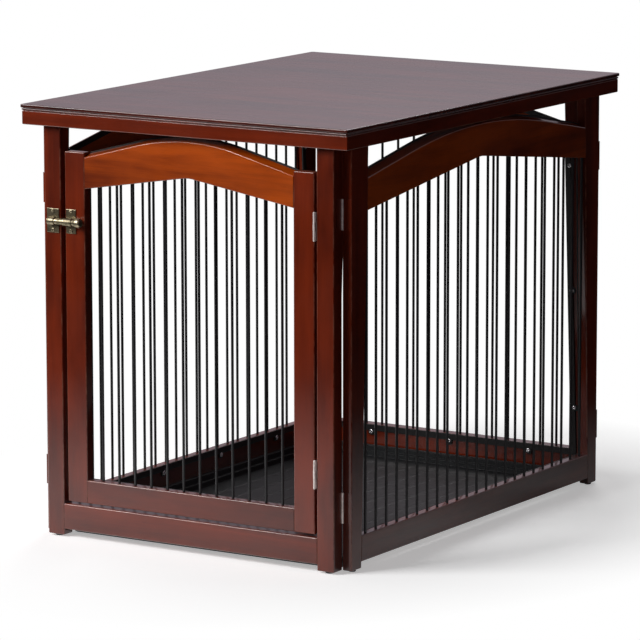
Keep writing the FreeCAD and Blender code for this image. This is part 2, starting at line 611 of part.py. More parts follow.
body = body.cut(rod(bore_r, 40, (PLATE_X[0] - 5, BOLT_Y, BOLT_Z), (1, 0, 0), LATCH_SIDES))
export("latch_body", body.removeSplitter())
bolt = rod(BOLT_R, KNOB_X[0] - BOLT_TIP_X, (BOLT_TIP_X, BOLT_Y, BOLT_Z), (1, 0, 0), LATCH_SIDES)
bolt = ease(bolt, BOLT_EASE, lambda a, b: max(a.x, b.x) < BOLT_TIP_X + 0.1)
export("latch_bolt", bolt)
knob = rod(KNOB_R, KNOB_X[1] - KNOB_X[0], (KNOB_X[0], BOLT_Y, BOLT_Z), (1, 0, 0), LATCH_SIDES)
knob = ease(knob, KNOB_EASE, lambda a, b: abs(a.x - b.x) < 0.1)
export("latch_knob", knob)
for name, xs, y in (("latch_screws_keeper", KEEPER_X, FRONT_Y - PLATE_T),
                    ("latch_screws_body", PLATE_X, DOOR_Y - PLATE_T)):
    export(name, [rod(LATCH_SCREW_R, LATCH_SCREW_H, (sum(xs) / 2, y, BOLT_Z + s * LATCH_SCREW_DZ),
                      (0, -1, 0), SMALL_SIDES) for s in (-1, 1)])

# Lift-off top: board, mitred rim and corner blocks that drop into the panels' notches
in_x = SIDE_X + TOP_CLEARANCE_X
in_y = -FRONT_Y + TOP_CLEARANCE_Y
out_x, out_y = in_x + APRON_T, in_y + APRON_T
board = box(-out_x - LIP, out_x + LIP, -out_y - LIP, out_y + LIP, APRON_TOP_Z, TOTAL_H)
export("top_board", ease(board, LIP_EASE, lambda a, b: True))


def apron_side(ax, ay, bx, by):
    """One mitred rim rail between two outer corners, with a recessed line along its top."""
    def ring(corner_x, corner_y, z):
        sx = 1 if corner_x > 0 else -1
        sy = 1 if corner_y > 0 else -1
        return [V(sx * out_x, sy * out_y, z), V(sx * in_x, sy * in_y, z)]
    (a0, a1), (b0, b1) = ring(ax, ay, APRON_LOW_Z), ring(bx, by, APRON_LOW_Z)
    face = Part.Face(Part.makePolygon([a0, b0, b1, a1, a0]))
    rail = face.extrude(V(0, 0, APRON_H))
    outer = box(-out_x, out_x, -out_y, out_y, APRON_TOP_Z - BEAD_H, APRON_TOP_Z + 1)
    core = box(-out_x + BEAD_D, out_x - BEAD_D, -out_y + BEAD_D, out_y - BEAD_D,
               APRON_TOP_Z - BEAD_H, APRON_TOP_Z + 1)
    return rail.cut(outer.cut(core))


for name, corners in (("apron_front", (-1, -1, 1, -1)), ("apron_back", (-1, 1, 1, 1)),
                      ("apron_left", (-1, -1, -1, 1)), ("apron_right", (1, -1, 1, 1))):
    export(name, apron_side(*corners))
block_x = (PANEL_W / 2 + CORNER_GAP, in_x)
block_y = (SIDE_W / 2 + BLOCK_GAP_Y, in_y)
blocks = []
for sx in (-1, 1):
    for sy in (-1, 1):
        xs = sorted(sx * v for v in block_x)
        ys = sorted(sy * v for v in block_y)
        blocks.append(box(xs[0], xs[1], ys[0], ys[1], APRON_TOP_Z - BLOCK_H, APRON_TOP_Z))
export("top_corner_blocks", blocks)


def round_slab(size_x, size_y, radius, z0, z1):
    """Slab with rounded corners, each drawn as a few flats."""
    points = []
    for quarter, (sx, sy) in enumerate(((1, 1), (-1, 1), (-1, -1), (1, -1))):
        centre = V(sx * (size_x / 2 - radius), sy * (size_y / 2 - radius), z0)
        for step in range(TRAY_CORNER_FLATS + 1):
            angle = math.radians(90 * (quarter + step / TRAY_CORNER_FLATS))
            points.append(centre + V(radius * math.cos(angle), radius * math.sin(angle), 0))
    return Part.Face(Part.makePolygon(points + points[:1])).extrude(V(0, 0, z1 - z0))


# Tray: floor, lower wall, ledge, upper wall and flange, with shallow ribs on the floor
wall_x, wall_y = TRAY_X - 2 * TRAY_FLANGE, TRAY_Y - 2 * TRAY_FLANGE
base_x, base_y = wall_x - 2 * TRAY_LEDGE, wall_y - 2 * TRAY_LEDGE
tray = round_slab(TRAY_X, TRAY_Y, 14, TRAY_H - TRAY_T, TRAY_H)
tray = tray.fuse(round_slab(wall_x + 2 * TRAY_T, wall_y + 2 * TRAY_T, 12,
                            TRAY_LEDGE_Z - TRAY_T, TRAY_H))
tray = tray.fuse(round_slab(base_x + 2 * TRAY_T, base_y + 2 * TRAY_T, 10, 0, TRAY_LEDGE_Z))
tray = tray.cut(round_slab(wall_x, wall_y, 10, TRAY_LEDGE_Z, TRAY_H + 1))
tray = tray.cut(round_slab(base_x, base_y, 8, TRAY_T, TRAY_H + 1))
for x in bar_row(TRAY_RIBS, base_x / (TRAY_RIBS + 1)):
    tray = tray.fuse(box(x - TRAY_RIB_W / 2, x + TRAY_RIB_W / 2, -base_y / 2 + TRAY_RIB_END,
                         base_y / 2 - TRAY_RIB_END, TRAY_T - TRAY_RIB_SINK, TRAY_T + TRAY_RIB_H))
export("tray", tray.removeSplitter())
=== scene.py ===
import math
import bmesh
import bpy
import numpy as np
from mathutils import Matrix, Vector


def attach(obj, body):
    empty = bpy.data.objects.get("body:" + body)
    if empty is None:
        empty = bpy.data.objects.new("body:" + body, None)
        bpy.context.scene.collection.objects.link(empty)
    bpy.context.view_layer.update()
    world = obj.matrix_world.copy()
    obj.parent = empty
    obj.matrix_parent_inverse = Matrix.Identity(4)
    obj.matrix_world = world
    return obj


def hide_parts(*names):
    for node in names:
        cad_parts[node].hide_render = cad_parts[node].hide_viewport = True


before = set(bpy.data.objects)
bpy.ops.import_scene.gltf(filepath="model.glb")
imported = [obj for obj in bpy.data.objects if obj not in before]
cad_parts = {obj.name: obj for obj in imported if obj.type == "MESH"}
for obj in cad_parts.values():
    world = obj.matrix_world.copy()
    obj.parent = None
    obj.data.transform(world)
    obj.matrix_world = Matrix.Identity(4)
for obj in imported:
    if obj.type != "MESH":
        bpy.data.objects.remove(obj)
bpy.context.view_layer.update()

# Dog crate end table. Everything is in metres, in the CAD's frame: +Z up, the door faces -Y.


# ---------------------------------------------------------------- mesh tools

# A solid is (points, blocks of faces, edge marks). A mark is 1 on a rounded edge, where wood gets a
# painted highlight and metal shows wear.

# Points nearer than this are one: on a new surface, and on a CAD node
SAME_PLACE = 1e-7
NODE_SAME_PLACE = 1e-6


def loft(rings, marks=None, caps=True):
    """Closed rings stacked into a surface.

    rings[s, n] is point n of ring s. Neighbouring points of neighbouring rings make a quad,
    and the first and last ring are filled."""
    count, width = rings.shape[:2]
    s, n = np.meshgrid(np.arange(count - 1), np.arange(width), indexing="ij")
    m = (n + 1) % width
    quads = np.stack([s * width + n, s * width + m, (s + 1) * width + m, (s + 1) * width + n], -1)
    blocks = [quads.reshape(-1, 4)]
    if caps:
        blocks.append(np.arange(width)[None, ::-1])
        blocks.append(np.arange((count - 1) * width, count * width)[None])
    marks = np.zeros((count, width)) if marks is None else np.broadcast_to(marks, (count, width))
    return rings.reshape(-1, 3), blocks, marks.reshape(-1)


def piece(name, solids, body, material, replaces=(), sharp=38):
    """Make one object out of solids, ride it on its body and give it its material.

    Edges that turn by more than the angle sharp, in degrees, stay sharp."""
    sizes = [len(points) for points, blocks, marks in solids]
    offsets = np.concatenate([[0], np.cumsum(sizes)])
    faces = []
    for offset, (points, blocks, marks) in zip(offsets, solids):
        for block in blocks:
            faces += (block + offset).tolist()
    mesh = bpy.data.meshes.new(name)
    mesh.from_pydata(np.concatenate([solid[0] for solid in solids]).tolist(), [], faces)
    values = np.concatenate([solid[2] for solid in solids]).astype(np.float32)
    mesh.attributes.new("edge", "FLOAT", "POINT").data.foreach_set("value", values)
    shell = bmesh.new()
    shell.from_mesh(mesh)
    bmesh.ops.remove_doubles(shell, verts=shell.verts, dist=SAME_PLACE)
    bmesh.ops.recalc_face_normals(shell, faces=shell.faces)
    shell.to_mesh(mesh)
    shell.free()
    mesh.shade_smooth()
    mesh.set_sharp_from_angle(angle=math.radians(sharp))
    obj = bpy.data.objects.new(name, mesh)
    bpy.context.scene.collection.objects.link(obj)
    weighted = obj.modifiers.new("flat faces stay flat", "WEIGHTED_NORMAL")
    weighted.keep_sharp = True
    mesh.materials.append(material)
    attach(obj, body)
    if replaces:
        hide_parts(*replaces)


def towards_neighbours(corners):
    """Unit vectors from each corner of polygon s to the corner before it and the one after."""
    before = np.roll(corners, 1, axis=1) - corners
    after = np.roll(corners, -1, axis=1) - corners
    before /= np.linalg.norm(before, axis=2, keepdims=True)
    after /= np.linalg.norm(after, axis=2, keepdims=True)
    return before, after


def rounded(corners, radii, steps=4):
    """Round the corners of polygons by arcs of a conic.

    corners[s, c] is corner c of polygon s. The arc runs from radii[c] before the corner to
    radii[c] after it, with the middle control point at the corner and the weight of a quarter
    circle. Also gives a mark for each point: 1 in the middle of an arc and 0 at its ends."""
    radii = np.asarray(radii, float)[None, :, None]
    before, after = towards_neighbours(corners)
    u = np.linspace(0, 1, steps + 1)[None, None, :, None]
    weight = math.sqrt(0.5)
    a, b, c = (1 - u) ** 2, 2 * weight * u * (1 - u), u ** 2
    start = (corners + before * radii)[:, :, None]
    end = (corners + after * radii)[:, :, None]
    arc = (a * start + b * corners[:, :, None] + c * end) / (a + b + c)
    mark = np.broadcast_to(np.sin(np.pi * u[..., 0]), arc.shape[:3])
    count = corners.shape[0]
    return arc.reshape(count, -1, 2), mark.reshape(count, -1)


def inset(corners, amount):
    """Move every corner inwards along both its sides by amount[s] for polygon s."""
    before, after = towards_neighbours(corners)
    return corners + (before + after) * np.asarray(amount)[:, None, None]


def stations(start, end, count, radius, steps=3):
    """Places along a stick, and how far its section shrinks at each.

    Near both ends the place moves by r(1 - cos t) while the section shrinks by r(1 - sin t),
    with t from 0 to a quarter turn, so that the ends are rounded too."""
    t = np.linspace(0, math.pi / 2, steps + 1)
    middle = np.linspace(start + radius, end - radius, count)[1:-1]
    first = start + radius * (1 - np.cos(t))
    last = (end - radius * (1 - np.cos(t)))[::-1]
    shrink = radius * (1 - np.sin(t))
    places = np.concatenate([first, middle, last])
    return places, np.concatenate([shrink, np.zeros(len(middle)), shrink[::-1]])


# For each axis: its own number, then those of the other two
AXES = {"x": (0, 1, 2), "y": (1, 0, 2), "z": (2, 0, 1)}


def stick(axis, start, end, section, radius, count=2, end_radius=None, slant=None):
    """A rail or post: a polygon with rounded corners, carried along an axis.

    section(places) gives the polygons' corners in the other two axes, in the order of AXES.
    slant(points) gives a factor for the place of each point, for ends that follow a taper."""
    end_radius = np.min(radius) if end_radius is None else end_radius
    places, shrink = stations(start, end, count, end_radius)
    corners = section(places)
    radii = np.full(corners.shape[1], radius) if np.isscalar(radius) else radius
    ring, mark = rounded(inset(corners, shrink), radii)
    mark = np.maximum(mark, (shrink > 0)[:, None] * 0.9)
    points = np.zeros(ring.shape[:2] + (3,))
    along, first, second = AXES[axis]
    points[..., along] = places[:, None]
    points[..., first] = ring[..., 0]
    points[..., second] = ring[..., 1]
    if slant is not None:
        points[..., along] *= slant(points)
    return loft(points, mark)


def unchanging(corners):
    """Section that stays the same all along a stick."""
    return lambda places: np.tile(corners, (len(places), 1, 1))


def bar_of(axis, start, end, low, high, radius, end_radius=None):
    """A stick of constant rectangular section between two corners of the other two axes."""
    corners = np.array([low, (high[0], low[1]), high, (low[0], high[1])])
    return stick(axis, start, end, unchanging(corners), radius, end_radius=end_radius)


def axis_frame(direction):
    """Unit vector along a direction, and two unit vectors square to it and to each other."""
    axis = Vector(direction).normalized()
    u = axis.orthogonal().normalized()
    return axis, u, axis.cross(u)


def turned(profile, centre, direction, sides=20, closed=False, clip=None):
    """A round form: profile[i] = (distance along the axis, radius, mark), turned about the axis.

    Point n of ring i lies at centre + axis * along + radius * (u cos a + v sin a). A closed
    profile comes back to its start, as a tube's does. clip(points) may flatten a side."""
    axis, u, v = axis_frame(direction)
    profile = np.array(list(profile) + ([profile[0]] if closed else []), float)
    angle = np.linspace(0, 2 * math.pi, sides, endpoint=False)
    spoke = np.outer(np.cos(angle), u) + np.outer(np.sin(angle), v)
    rings = np.array(centre) + profile[:, 0, None, None] * np.array(axis)
    rings = rings + profile[:, 1, None, None] * spoke
    if clip is not None:
        rings = clip(rings)
    return loft(rings, profile[:, 2, None], caps=not closed)


def barrel(length, radius, ease, low=0.0):
    """Profile of a rod whose ends are eased by quarter arcs.

    At the angle t the place is low + e (1 - cos t) and the radius r - e (1 - sin t)."""
    t = np.linspace(0, math.pi / 2, 4)
    along = low + ease * (1 - np.cos(t))
    out = radius - ease * (1 - np.sin(t))
    first = np.stack([along, out, np.sin(2 * t)], -1)
    last = first[::-1].copy()
    last[:, 0] = 2 * low + length - last[:, 0]
    return np.concatenate([first, last]).tolist()


def tube(length, radius, bore, ease, low=0.0):
    """Closed profile of a hollow rod."""
    return barrel(length, radius, ease, low) + [[low + length, bore, 0.0], [low, bore, 0.0]]


def rectangle_ring(half_x, half_y, radius, steps=6):
    """Rounded rectangle round the origin as points, quarter arcs at its corners."""
    angle = np.concatenate([np.linspace(q, q + 1, steps + 1) for q in range(4)]) * math.pi / 2
    sign_x = np.repeat([1, -1, -1, 1], steps + 1)
    sign_y = np.repeat([1, 1, -1, -1], steps + 1)
    return np.stack([sign_x * (half_x - radius) + radius * np.cos(angle),
                     sign_y * (half_y - radius) + radius * np.sin(angle)], -1)


def slab_stack(half_x, half_y, levels):
    """Stack of rounded rectangles: levels[i] = (inset, corner radius, height, mark)."""
    rings, marks = [], []
    for inward, radius, height, mark in levels:
        flat = rectangle_ring(half_x - inward, half_y - inward, radius)
        rings.append(np.column_stack([flat, np.full(len(flat), height)]))
        marks.append(mark)
    return loft(np.array(rings), np.array(marks)[:, None])


def islands(node):
    """Box of each separate solid of a CAD node: (low corner, high corner) in metres."""
    copy = bmesh.new()
    copy.from_mesh(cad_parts[node].data)
    bmesh.ops.remove_doubles(copy, verts=copy.verts, dist=NODE_SAME_PLACE)
    left = set(copy.verts)
    boxes = []
    while left:
        todo = [left.pop()]
        spots = []
        while todo:
            vertex = todo.pop()
            spots.append(vertex.co[:])
            fresh = {edge.other_vert(vertex) for edge in vertex.link_edges} & left
            left -= fresh
            todo += fresh
        boxes.append((np.min(spots, axis=0), np.max(spots, axis=0)))
    copy.free()
    return sorted(boxes, key=lambda pair: pair[0].round(5).tolist())


# ---------------------------------------------------------------- shader groups

def new_group(name, inputs, outputs):
    """Empty shader node group; inputs and outputs are (name, socket type, default)."""
    group = bpy.data.node_groups.new(name, "ShaderNodeTree")
    for label, kind, default in inputs:
        socket = group.interface.new_socket(name=label, in_out="INPUT", socket_type=kind)
        if default is not None:
            socket.default_value = default
    for label, kind in outputs:
        group.interface.new_socket(name=label, in_out="OUTPUT", socket_type=kind)
    return group, group.nodes.new("NodeGroupInput"), group.nodes.new("NodeGroupOutput")


def math_node(tree, operation, a, b, clamp=False):
    """Math node; a and b are sockets or numbers."""
    node = tree.nodes.new("ShaderNodeMath")
    node.operation = operation
    node.use_clamp = clamp
    for value, socket in zip((a, b), node.inputs):
        if isinstance(value, (int, float)):
            socket.default_value = value
        else:
            tree.links.new(value, socket)
    return node.outputs[0]


def times(tree, a, b):
    """Product of two sockets or numbers."""
    return math_node(tree, "MULTIPLY", a, b)


def plus(tree, a, b, clamp=False):
    """Sum of two sockets or numbers, kept within 0..1 if clamp is set."""
    return math_node(tree, "ADD", a, b, clamp)


def noise(tree, vector, scale, detail=4.0, roughness=0.55, distortion=0.0):
    """Cloudy value about 0.5; scale is the number of clouds per metre."""
    node = tree.nodes.new("ShaderNodeTexNoise")
    node.inputs["Scale"].default_value = scale
    node.inputs["Detail"].default_value = detail
    node.inputs["Roughness"].default_value = roughness
    node.inputs["Distortion"].default_value = distortion
    tree.links.new(vector, node.inputs["Vector"])
    return node.outputs["Fac"]


def vector_math(tree, operation, vector, other):
    """Vector maths node; other is a plain vector."""
    node = tree.nodes.new("ShaderNodeVectorMath")
    node.operation = operation
    node.inputs[1].default_value = other
    tree.links.new(vector, node.inputs[0])
    return node


def stretch(tree, vector, scale):
    """Scale a vector's three parts."""
    return vector_math(tree, "MULTIPLY", vector, scale).outputs[0]


def distance(tree, vector, spot):
    """Distance of a vector from a spot."""
    return vector_math(tree, "DISTANCE", vector, spot).outputs["Value"]


def remap(tree, value, low, high, to_low=0.0, to_high=1.0):
    """Map a value from low..high to another range, clamped."""
    node = tree.nodes.new("ShaderNodeMapRange")
    node.clamp = True
    for i, number in enumerate((low, high, to_low, to_high), 1):
        node.inputs[i].default_value = number
    tree.links.new(value, node.inputs[0])
    return node.outputs[0]


def blend_colours(tree, factor, a, b):
    """Mix two colours by a socket; each colour is a socket or a plain colour."""
    node = tree.nodes.new("ShaderNodeMix")
    node.data_type = "RGBA"
    tree.links.new(factor, node.inputs[0])
    for index, value in ((6, a), (7, b)):
        if isinstance(value, tuple):
            node.inputs[index].default_value = value + (1.0,)
        else:
            tree.links.new(value, node.inputs[index])
    return node.outputs[2]


def build_grain():
    """Stained grain. X of the vector runs along the grain.

    Figure: broad streaks where the stain took darker or lighter. Fibre: fine dark pores, many
    times longer than wide. Height: for a bump."""
    group, inlet, outlet = new_group(
        "stained grain", [("Vector", "NodeSocketVector", None)],
        [(label, "NodeSocketFloat") for label in ("Figure", "Fibre", "Height")])
    vector = inlet.outputs["Vector"]
    broad = noise(group, stretch(group, vector, (2.2, 26.0, 26.0)), 1.0, 3.0, 0.55, 0.8)
    cloud = noise(group, stretch(group, vector, (7.0, 16.0, 16.0)), 1.0, 3.0, 0.55)
    fine = noise(group, stretch(group, vector, (14.0, 420.0, 420.0)), 1.0, 5.0, 0.6, 0.2)
    pores = noise(group, stretch(group, vector, (60.0, 1500.0, 1500.0)), 1.0, 3.0, 0.6)
    figure = plus(group, times(group, broad, 0.6), times(group, cloud, 0.4))
    figure = plus(group, figure, times(group, fine, 0.14))
    group.links.new(remap(group, figure, 0.42, 0.70), outlet.inputs["Figure"])
    fibre = times(group, remap(group, pores, 0.56, 0.70), remap(group, fine, 0.4, 0.65))
    group.links.new(fibre, outlet.inputs["Fibre"])
    height = math_node(group, "SUBTRACT", times(group, fine, 0.5), fibre)
    group.links.new(height, outlet.inputs["Height"])
    return group


def build_wear_and_highlight():
    """Handling and settling, and a painted highlight on the wood's edges.

    Edge: the mark, faded in patches; a painted highlight on wood, wear on metal. Dust: fine specks.
    Smear: broad dull patches."""
    group, inlet, outlet = new_group(
        "wear, dust and edge highlight", [("Vector", "NodeSocketVector", None), ("Mark", "NodeSocketFloat", 0.0)],
        [(label, "NodeSocketFloat") for label in ("Edge", "Dust", "Smear")])
    vector = inlet.outputs["Vector"]
    patch = noise(group, vector, 34.0, 4.0, 0.65)
    # On wood this mark is a painted highlight on the rounded edges; on metal it is wear.
    edge = times(group, remap(group, patch, 0.38, 0.68), inlet.outputs["Mark"])
    group.links.new(edge, outlet.inputs["Edge"])
    specks = remap(group, noise(group, vector, 900.0, 2.0, 0.6), 0.60, 0.78)
    group.links.new(specks, outlet.inputs["Dust"])
    smear = remap(group, noise(group, vector, 9.0, 3.0, 0.5), 0.35, 0.7)
    group.links.new(smear, outlet.inputs["Smear"])
    return group


GRAIN = build_grain()
WEAR_AND_HIGHLIGHT = build_wear_and_highlight()


def start_material(name, **settings):
    """New material with its Principled BSDF; settings go on the shader's own sockets."""
    material = bpy.data.materials.new(name)
    material.use_nodes = True
    tree = material.node_tree
    shader = tree.nodes["Principled BSDF"]
    for label, value in settings.items():
        shader.inputs[label.replace("_", " ")].default_value = value
    return material, tree, shader


def use_group(tree, group, **links):
    """Place a group in a material and link its named inputs."""
    node = tree.nodes.new("ShaderNodeGroup")
    node.node_tree = group
    for label, value in links.items():
        tree.links.new(value, node.inputs[label])
    return node


def object_vector(tree):
    """Place on the piece, in metres."""
    return tree.nodes.new("ShaderNodeTexCoord").outputs["Object"]


def edge_mark(tree):
    """The mark that each surface carries on its rounded edges: a painted highlight on wood, wear on
    metal.
    """
    node = tree.nodes.new("ShaderNodeAttribute")
    node.attribute_name = "edge"
    return node.outputs["Fac"]


def bump(tree, shader, height, strength, depth):
    """Fine relief on a shader's normal; depth is in metres."""
    node = tree.nodes.new("ShaderNodeBump")
    node.inputs["Strength"].default_value = strength
    node.inputs["Distance"].default_value = depth
    tree.links.new(height, node.inputs["Height"])
    tree.links.new(node.outputs["Normal"], shader.inputs["Normal"])


# Turns that bring the grain's direction to each axis
GRAIN_TURN = {"x": (0, 0, 0), "y": (0, 0, -math.pi / 2), "z": (0, math.pi / 2, 0)}


def stained_wood(name, axis, dark, light, edge_highlight, gloss, coat, shift=0.0, highlight_drift=(0.0, 0.0, 0.0)):
    """Reddish-brown stain under lacquer, grain along the given axis.

    drift paints the stain lighter along a direction, per metre, as a highlight. The marked edges
    are painted pale as a highlight."""
    material, tree, shader = start_material(
        name, Roughness=gloss, IOR=1.5, Specular_IOR_Level=0.2, Coat_Weight=coat, Coat_IOR=1.5,
        Coat_Roughness=0.07)
    mapping = tree.nodes.new("ShaderNodeMapping")
    mapping.inputs["Rotation"].default_value = GRAIN_TURN[axis]
    mapping.inputs["Location"].default_value = (shift, shift, shift)
    vector = object_vector(tree)
    tree.links.new(vector, mapping.inputs["Vector"])
    grain = use_group(tree, GRAIN, Vector=mapping.outputs["Vector"])
    wear = use_group(tree, WEAR_AND_HIGHLIGHT, Vector=vector, Mark=edge_mark(tree))
    # Painted highlight: the stain is painted lighter along the drift's direction.
    lighter = vector_math(tree, "DOT_PRODUCT", vector, highlight_drift).outputs["Value"]
    figure = plus(tree, grain.outputs["Figure"], lighter, True)
    colour = blend_colours(tree, figure, dark, light)
    shade = times(tree, grain.outputs["Fibre"], 0.55)
    colour = blend_colours(tree, shade, colour, tuple(v * 0.35 for v in dark))
    # Painted highlight: the marked edges are painted pale.
    colour = blend_colours(tree, times(tree, wear.outputs["Edge"], 0.8), colour, edge_highlight)
    tree.links.new(colour, shader.inputs["Base Color"])
    rough = plus(tree, times(tree, wear.outputs["Smear"], 0.10), gloss - 0.05)
    rough = plus(tree, rough, times(tree, wear.outputs["Dust"], 0.12), True)
    tree.links.new(rough, shader.inputs["Roughness"])
    bump(tree, shader, grain.outputs["Height"], 0.12, 0.0002)
    return material


def enamel(name, colour, gloss):
    """Black enamel on steel, slightly orange-peeled, with a little dust."""
    material, tree, shader = start_material(name, Roughness=gloss, IOR=1.5)
    vector = object_vector(tree)
    wear = use_group(tree, WEAR_AND_HIGHLIGHT, Vector=vector, Mark=edge_mark(tree))
    dusty = tuple(v + 0.05 for v in colour)
    base = blend_colours(tree, times(tree, wear.outputs["Dust"], 0.4), colour, dusty)
    tree.links.new(base, shader.inputs["Base Color"])
    rough = plus(tree, times(tree, wear.outputs["Smear"], 0.12), gloss - 0.06)
    tree.links.new(rough, shader.inputs["Roughness"])
    bump(tree, shader, noise(tree, vector, 700.0, 2.0), 0.08, 0.0003)
    return material


def plated_metal(name, bright, tarnish, gloss, amount):
    """Plated steel or brass: bright where it is touched, dull patina elsewhere, fine brushing."""
    material, tree, shader = start_material(name, Metallic=1.0, Roughness=gloss)
    vector = object_vector(tree)
    wear = use_group(tree, WEAR_AND_HIGHLIGHT, Vector=vector, Mark=edge_mark(tree))
    patina = remap(tree, noise(tree, vector, 130.0, 5.0, 0.65), 0.42, 0.66)
    patina = times(tree, patina, amount)
    base = blend_colours(tree, patina, bright, tarnish)
    base = blend_colours(tree, times(tree, wear.outputs["Edge"], 0.6), base,
                         tuple(min(1.0, v * 1.5) for v in bright))
    tree.links.new(base, shader.inputs["Base Color"])
    rough = plus(tree, times(tree, patina, 0.22), gloss)
    tree.links.new(rough, shader.inputs["Roughness"])
    brushing = noise(tree, stretch(tree, vector, (300.0, 300.0, 4000.0)), 1.0, 2.0)
    bump(tree, shader, brushing, 0.10, 0.0001)
    return material


def moulded_plastic(name, colour, gloss, grain_size):
    """Injection-moulded plastic with a fine pebble grain and scuffs."""
    material, tree, shader = start_material(
        name, Roughness=gloss, IOR=1.49, Specular_IOR_Level=0.18)
    vector = object_vector(tree)
    wear = use_group(tree, WEAR_AND_HIGHLIGHT, Vector=vector, Mark=edge_mark(tree))
    pebble = tree.nodes.new("ShaderNodeTexVoronoi")
    pebble.inputs["Scale"].default_value = grain_size
    tree.links.new(vector, pebble.inputs["Vector"])
    base = blend_colours(tree, times(tree, wear.outputs["Smear"], 0.35), colour,
                         tuple(v * 1.5 + 0.004 for v in colour))
    base = blend_colours(tree, times(tree, wear.outputs["Dust"], 0.25), base,
                         (0.25, 0.24, 0.23))
    tree.links.new(base, shader.inputs["Base Color"])
    rough = plus(tree, times(tree, wear.outputs["Smear"], 0.1), gloss - 0.05)
    tree.links.new(rough, shader.inputs["Roughness"])
    bump(tree, shader, pebble.outputs["Distance"], 0.18, 0.0004)
    return material


STAIN_DARK = (0.072, 0.0065, 0.0012)
STAIN_LIGHT = (0.205, 0.021, 0.0030)
# Pale colour painted on the rounded edges as a highlight
STAIN_EDGE_HIGHLIGHT = (0.36, 0.145, 0.095)
# The arch rails' stain, painted brighter than the posts' stain as a highlight
ARCH_HIGHLIT_DARK = (0.12, 0.012, 0.0010)
ARCH_HIGHLIT_LIGHT = (0.50, 0.076, 0.0032)
BOARD_DARK = (0.026, 0.004, 0.003)
BOARD_LIGHT = (0.16, 0.030, 0.020)
# Pale colour painted on the board's rounded edges as a highlight
BOARD_EDGE_HIGHLIGHT = (0.16, 0.045, 0.030)
WOOD_GLOSS = 0.34
BOARD_GLOSS = 0.30
LACQUER = 0.9
WOOD = {}
for grain_axis in "xyz":
    WOOD[grain_axis] = stained_wood("stained wood along " + grain_axis, grain_axis, STAIN_DARK,
                                    STAIN_LIGHT, STAIN_EDGE_HIGHLIGHT, WOOD_GLOSS, LACQUER)
# Arch rails: a brighter stain, painted lighter towards one end, as a painted highlight
HIGHLIT_ARCH_WOOD = {}
for grain_axis, arch_highlight_drift in (("x", (1.3, 0.0, 0.0)), ("y", (0.0, -0.5, 0.0))):
    HIGHLIT_ARCH_WOOD[grain_axis] = stained_wood("arch painted with a highlight along " + grain_axis, grain_axis,
                                         ARCH_HIGHLIT_DARK, ARCH_HIGHLIT_LIGHT, STAIN_EDGE_HIGHLIGHT, WOOD_GLOSS,
                                         LACQUER, 0.37, arch_highlight_drift)
BOARD_WOOD = stained_wood("lacquered board", "x", BOARD_DARK, BOARD_LIGHT, BOARD_EDGE_HIGHLIGHT,
                          BOARD_GLOSS, LACQUER, 0.11)
BLACK_BAR = enamel("black bar enamel", (0.008, 0.008, 0.009), 0.34)
BLACK_SHEET = enamel("black sheet enamel", (0.006, 0.006, 0.006), 0.45)
ZINC = plated_metal("bright zinc", (0.62, 0.62, 0.63), (0.30, 0.30, 0.31), 0.22, 0.6)
BRASS = plated_metal("antique brass", (0.29, 0.25, 0.165), (0.085, 0.072, 0.042), 0.30, 0.9)
NICKEL = plated_metal("dull nickel", (0.86, 0.80, 0.76), (0.52, 0.45, 0.40), 0.50, 0.6)
TRAY_PLASTIC = moulded_plastic("tray plastic", (0.011, 0.012, 0.013), 0.44, 900.0)
GLIDE_PLASTIC = moulded_plastic("glide plastic", (0.012, 0.012, 0.012), 0.5, 1400.0)


# ---------------------------------------------------------------- sizes, in metres

TOTAL_H = 0.665
APRON_TOP = 0.656
APRON_LOW = 0.634
GLIDE_H = 0.003
RAIL_LOW = 0.0125
RAIL_TOP = 0.0525
PANEL_W = 0.516
SIDE_W = 0.754
FRONT_T = 0.022
SIDE_T = 0.0155
FRONT_Y = -0.399
SIDE_X = 0.275
DOOR_Y = -0.396
DOOR_T = 0.016
FRONT_OPEN = 0.228
DOOR_HALF = 0.2225
DOOR_OPEN = 0.186
DOOR_LOW = 0.0565
DOOR_RAIL_TOP = 0.0925
STILE_TOP = 0.596
RIM_IN_X = 0.2765
RIM_IN_Y = 0.400
RIM_OUT_X = 0.2885
RIM_OUT_Y = 0.412
LIP = 0.0025
BACK_Y = -FRONT_Y
BACK_INNER = BACK_Y - FRONT_T
DOOR_INNER = DOOR_Y + DOOR_T
DOOR_POST_W = 0.030
POST_FOOT_W = 0.028
POST_GROWTH = 0.0205
POST_ROUND = np.array([0.0020, 0.0020, 0.0016, 0.0004])
POST_END_ROUND = 0.0016
RAIL_ROUND = 0.0018
ARCH_ROUND = np.array([0.0014, 0.0014, 0.0016, 0.0014])
JOINT_ROUND = 0.0003
BAR_R = 0.0021
BAR_EASE = 0.0004
BOARD_CORNER = 0.003
UP = (0, 0, 1)


def post_width(z):
    """Width of a tapered post: it grows evenly from 28 mm at z = 0 to 48.5 mm under the board."""
    return POST_FOOT_W + POST_GROWTH * z / APRON_TOP


def steady(value):
    """A width or half opening that is the same at every height."""
    return lambda z: value + 0.0 * z


def side_half(z):
    """Half the gap between a side panel's posts."""
    return SIDE_W / 2 - post_width(z)


def back_half(z):
    """Half the gap between the back panel's posts."""
    return PANEL_W / 2 - post_width(z)


front_half = steady(FRONT_OPEN)
door_half = steady(DOOR_OPEN)


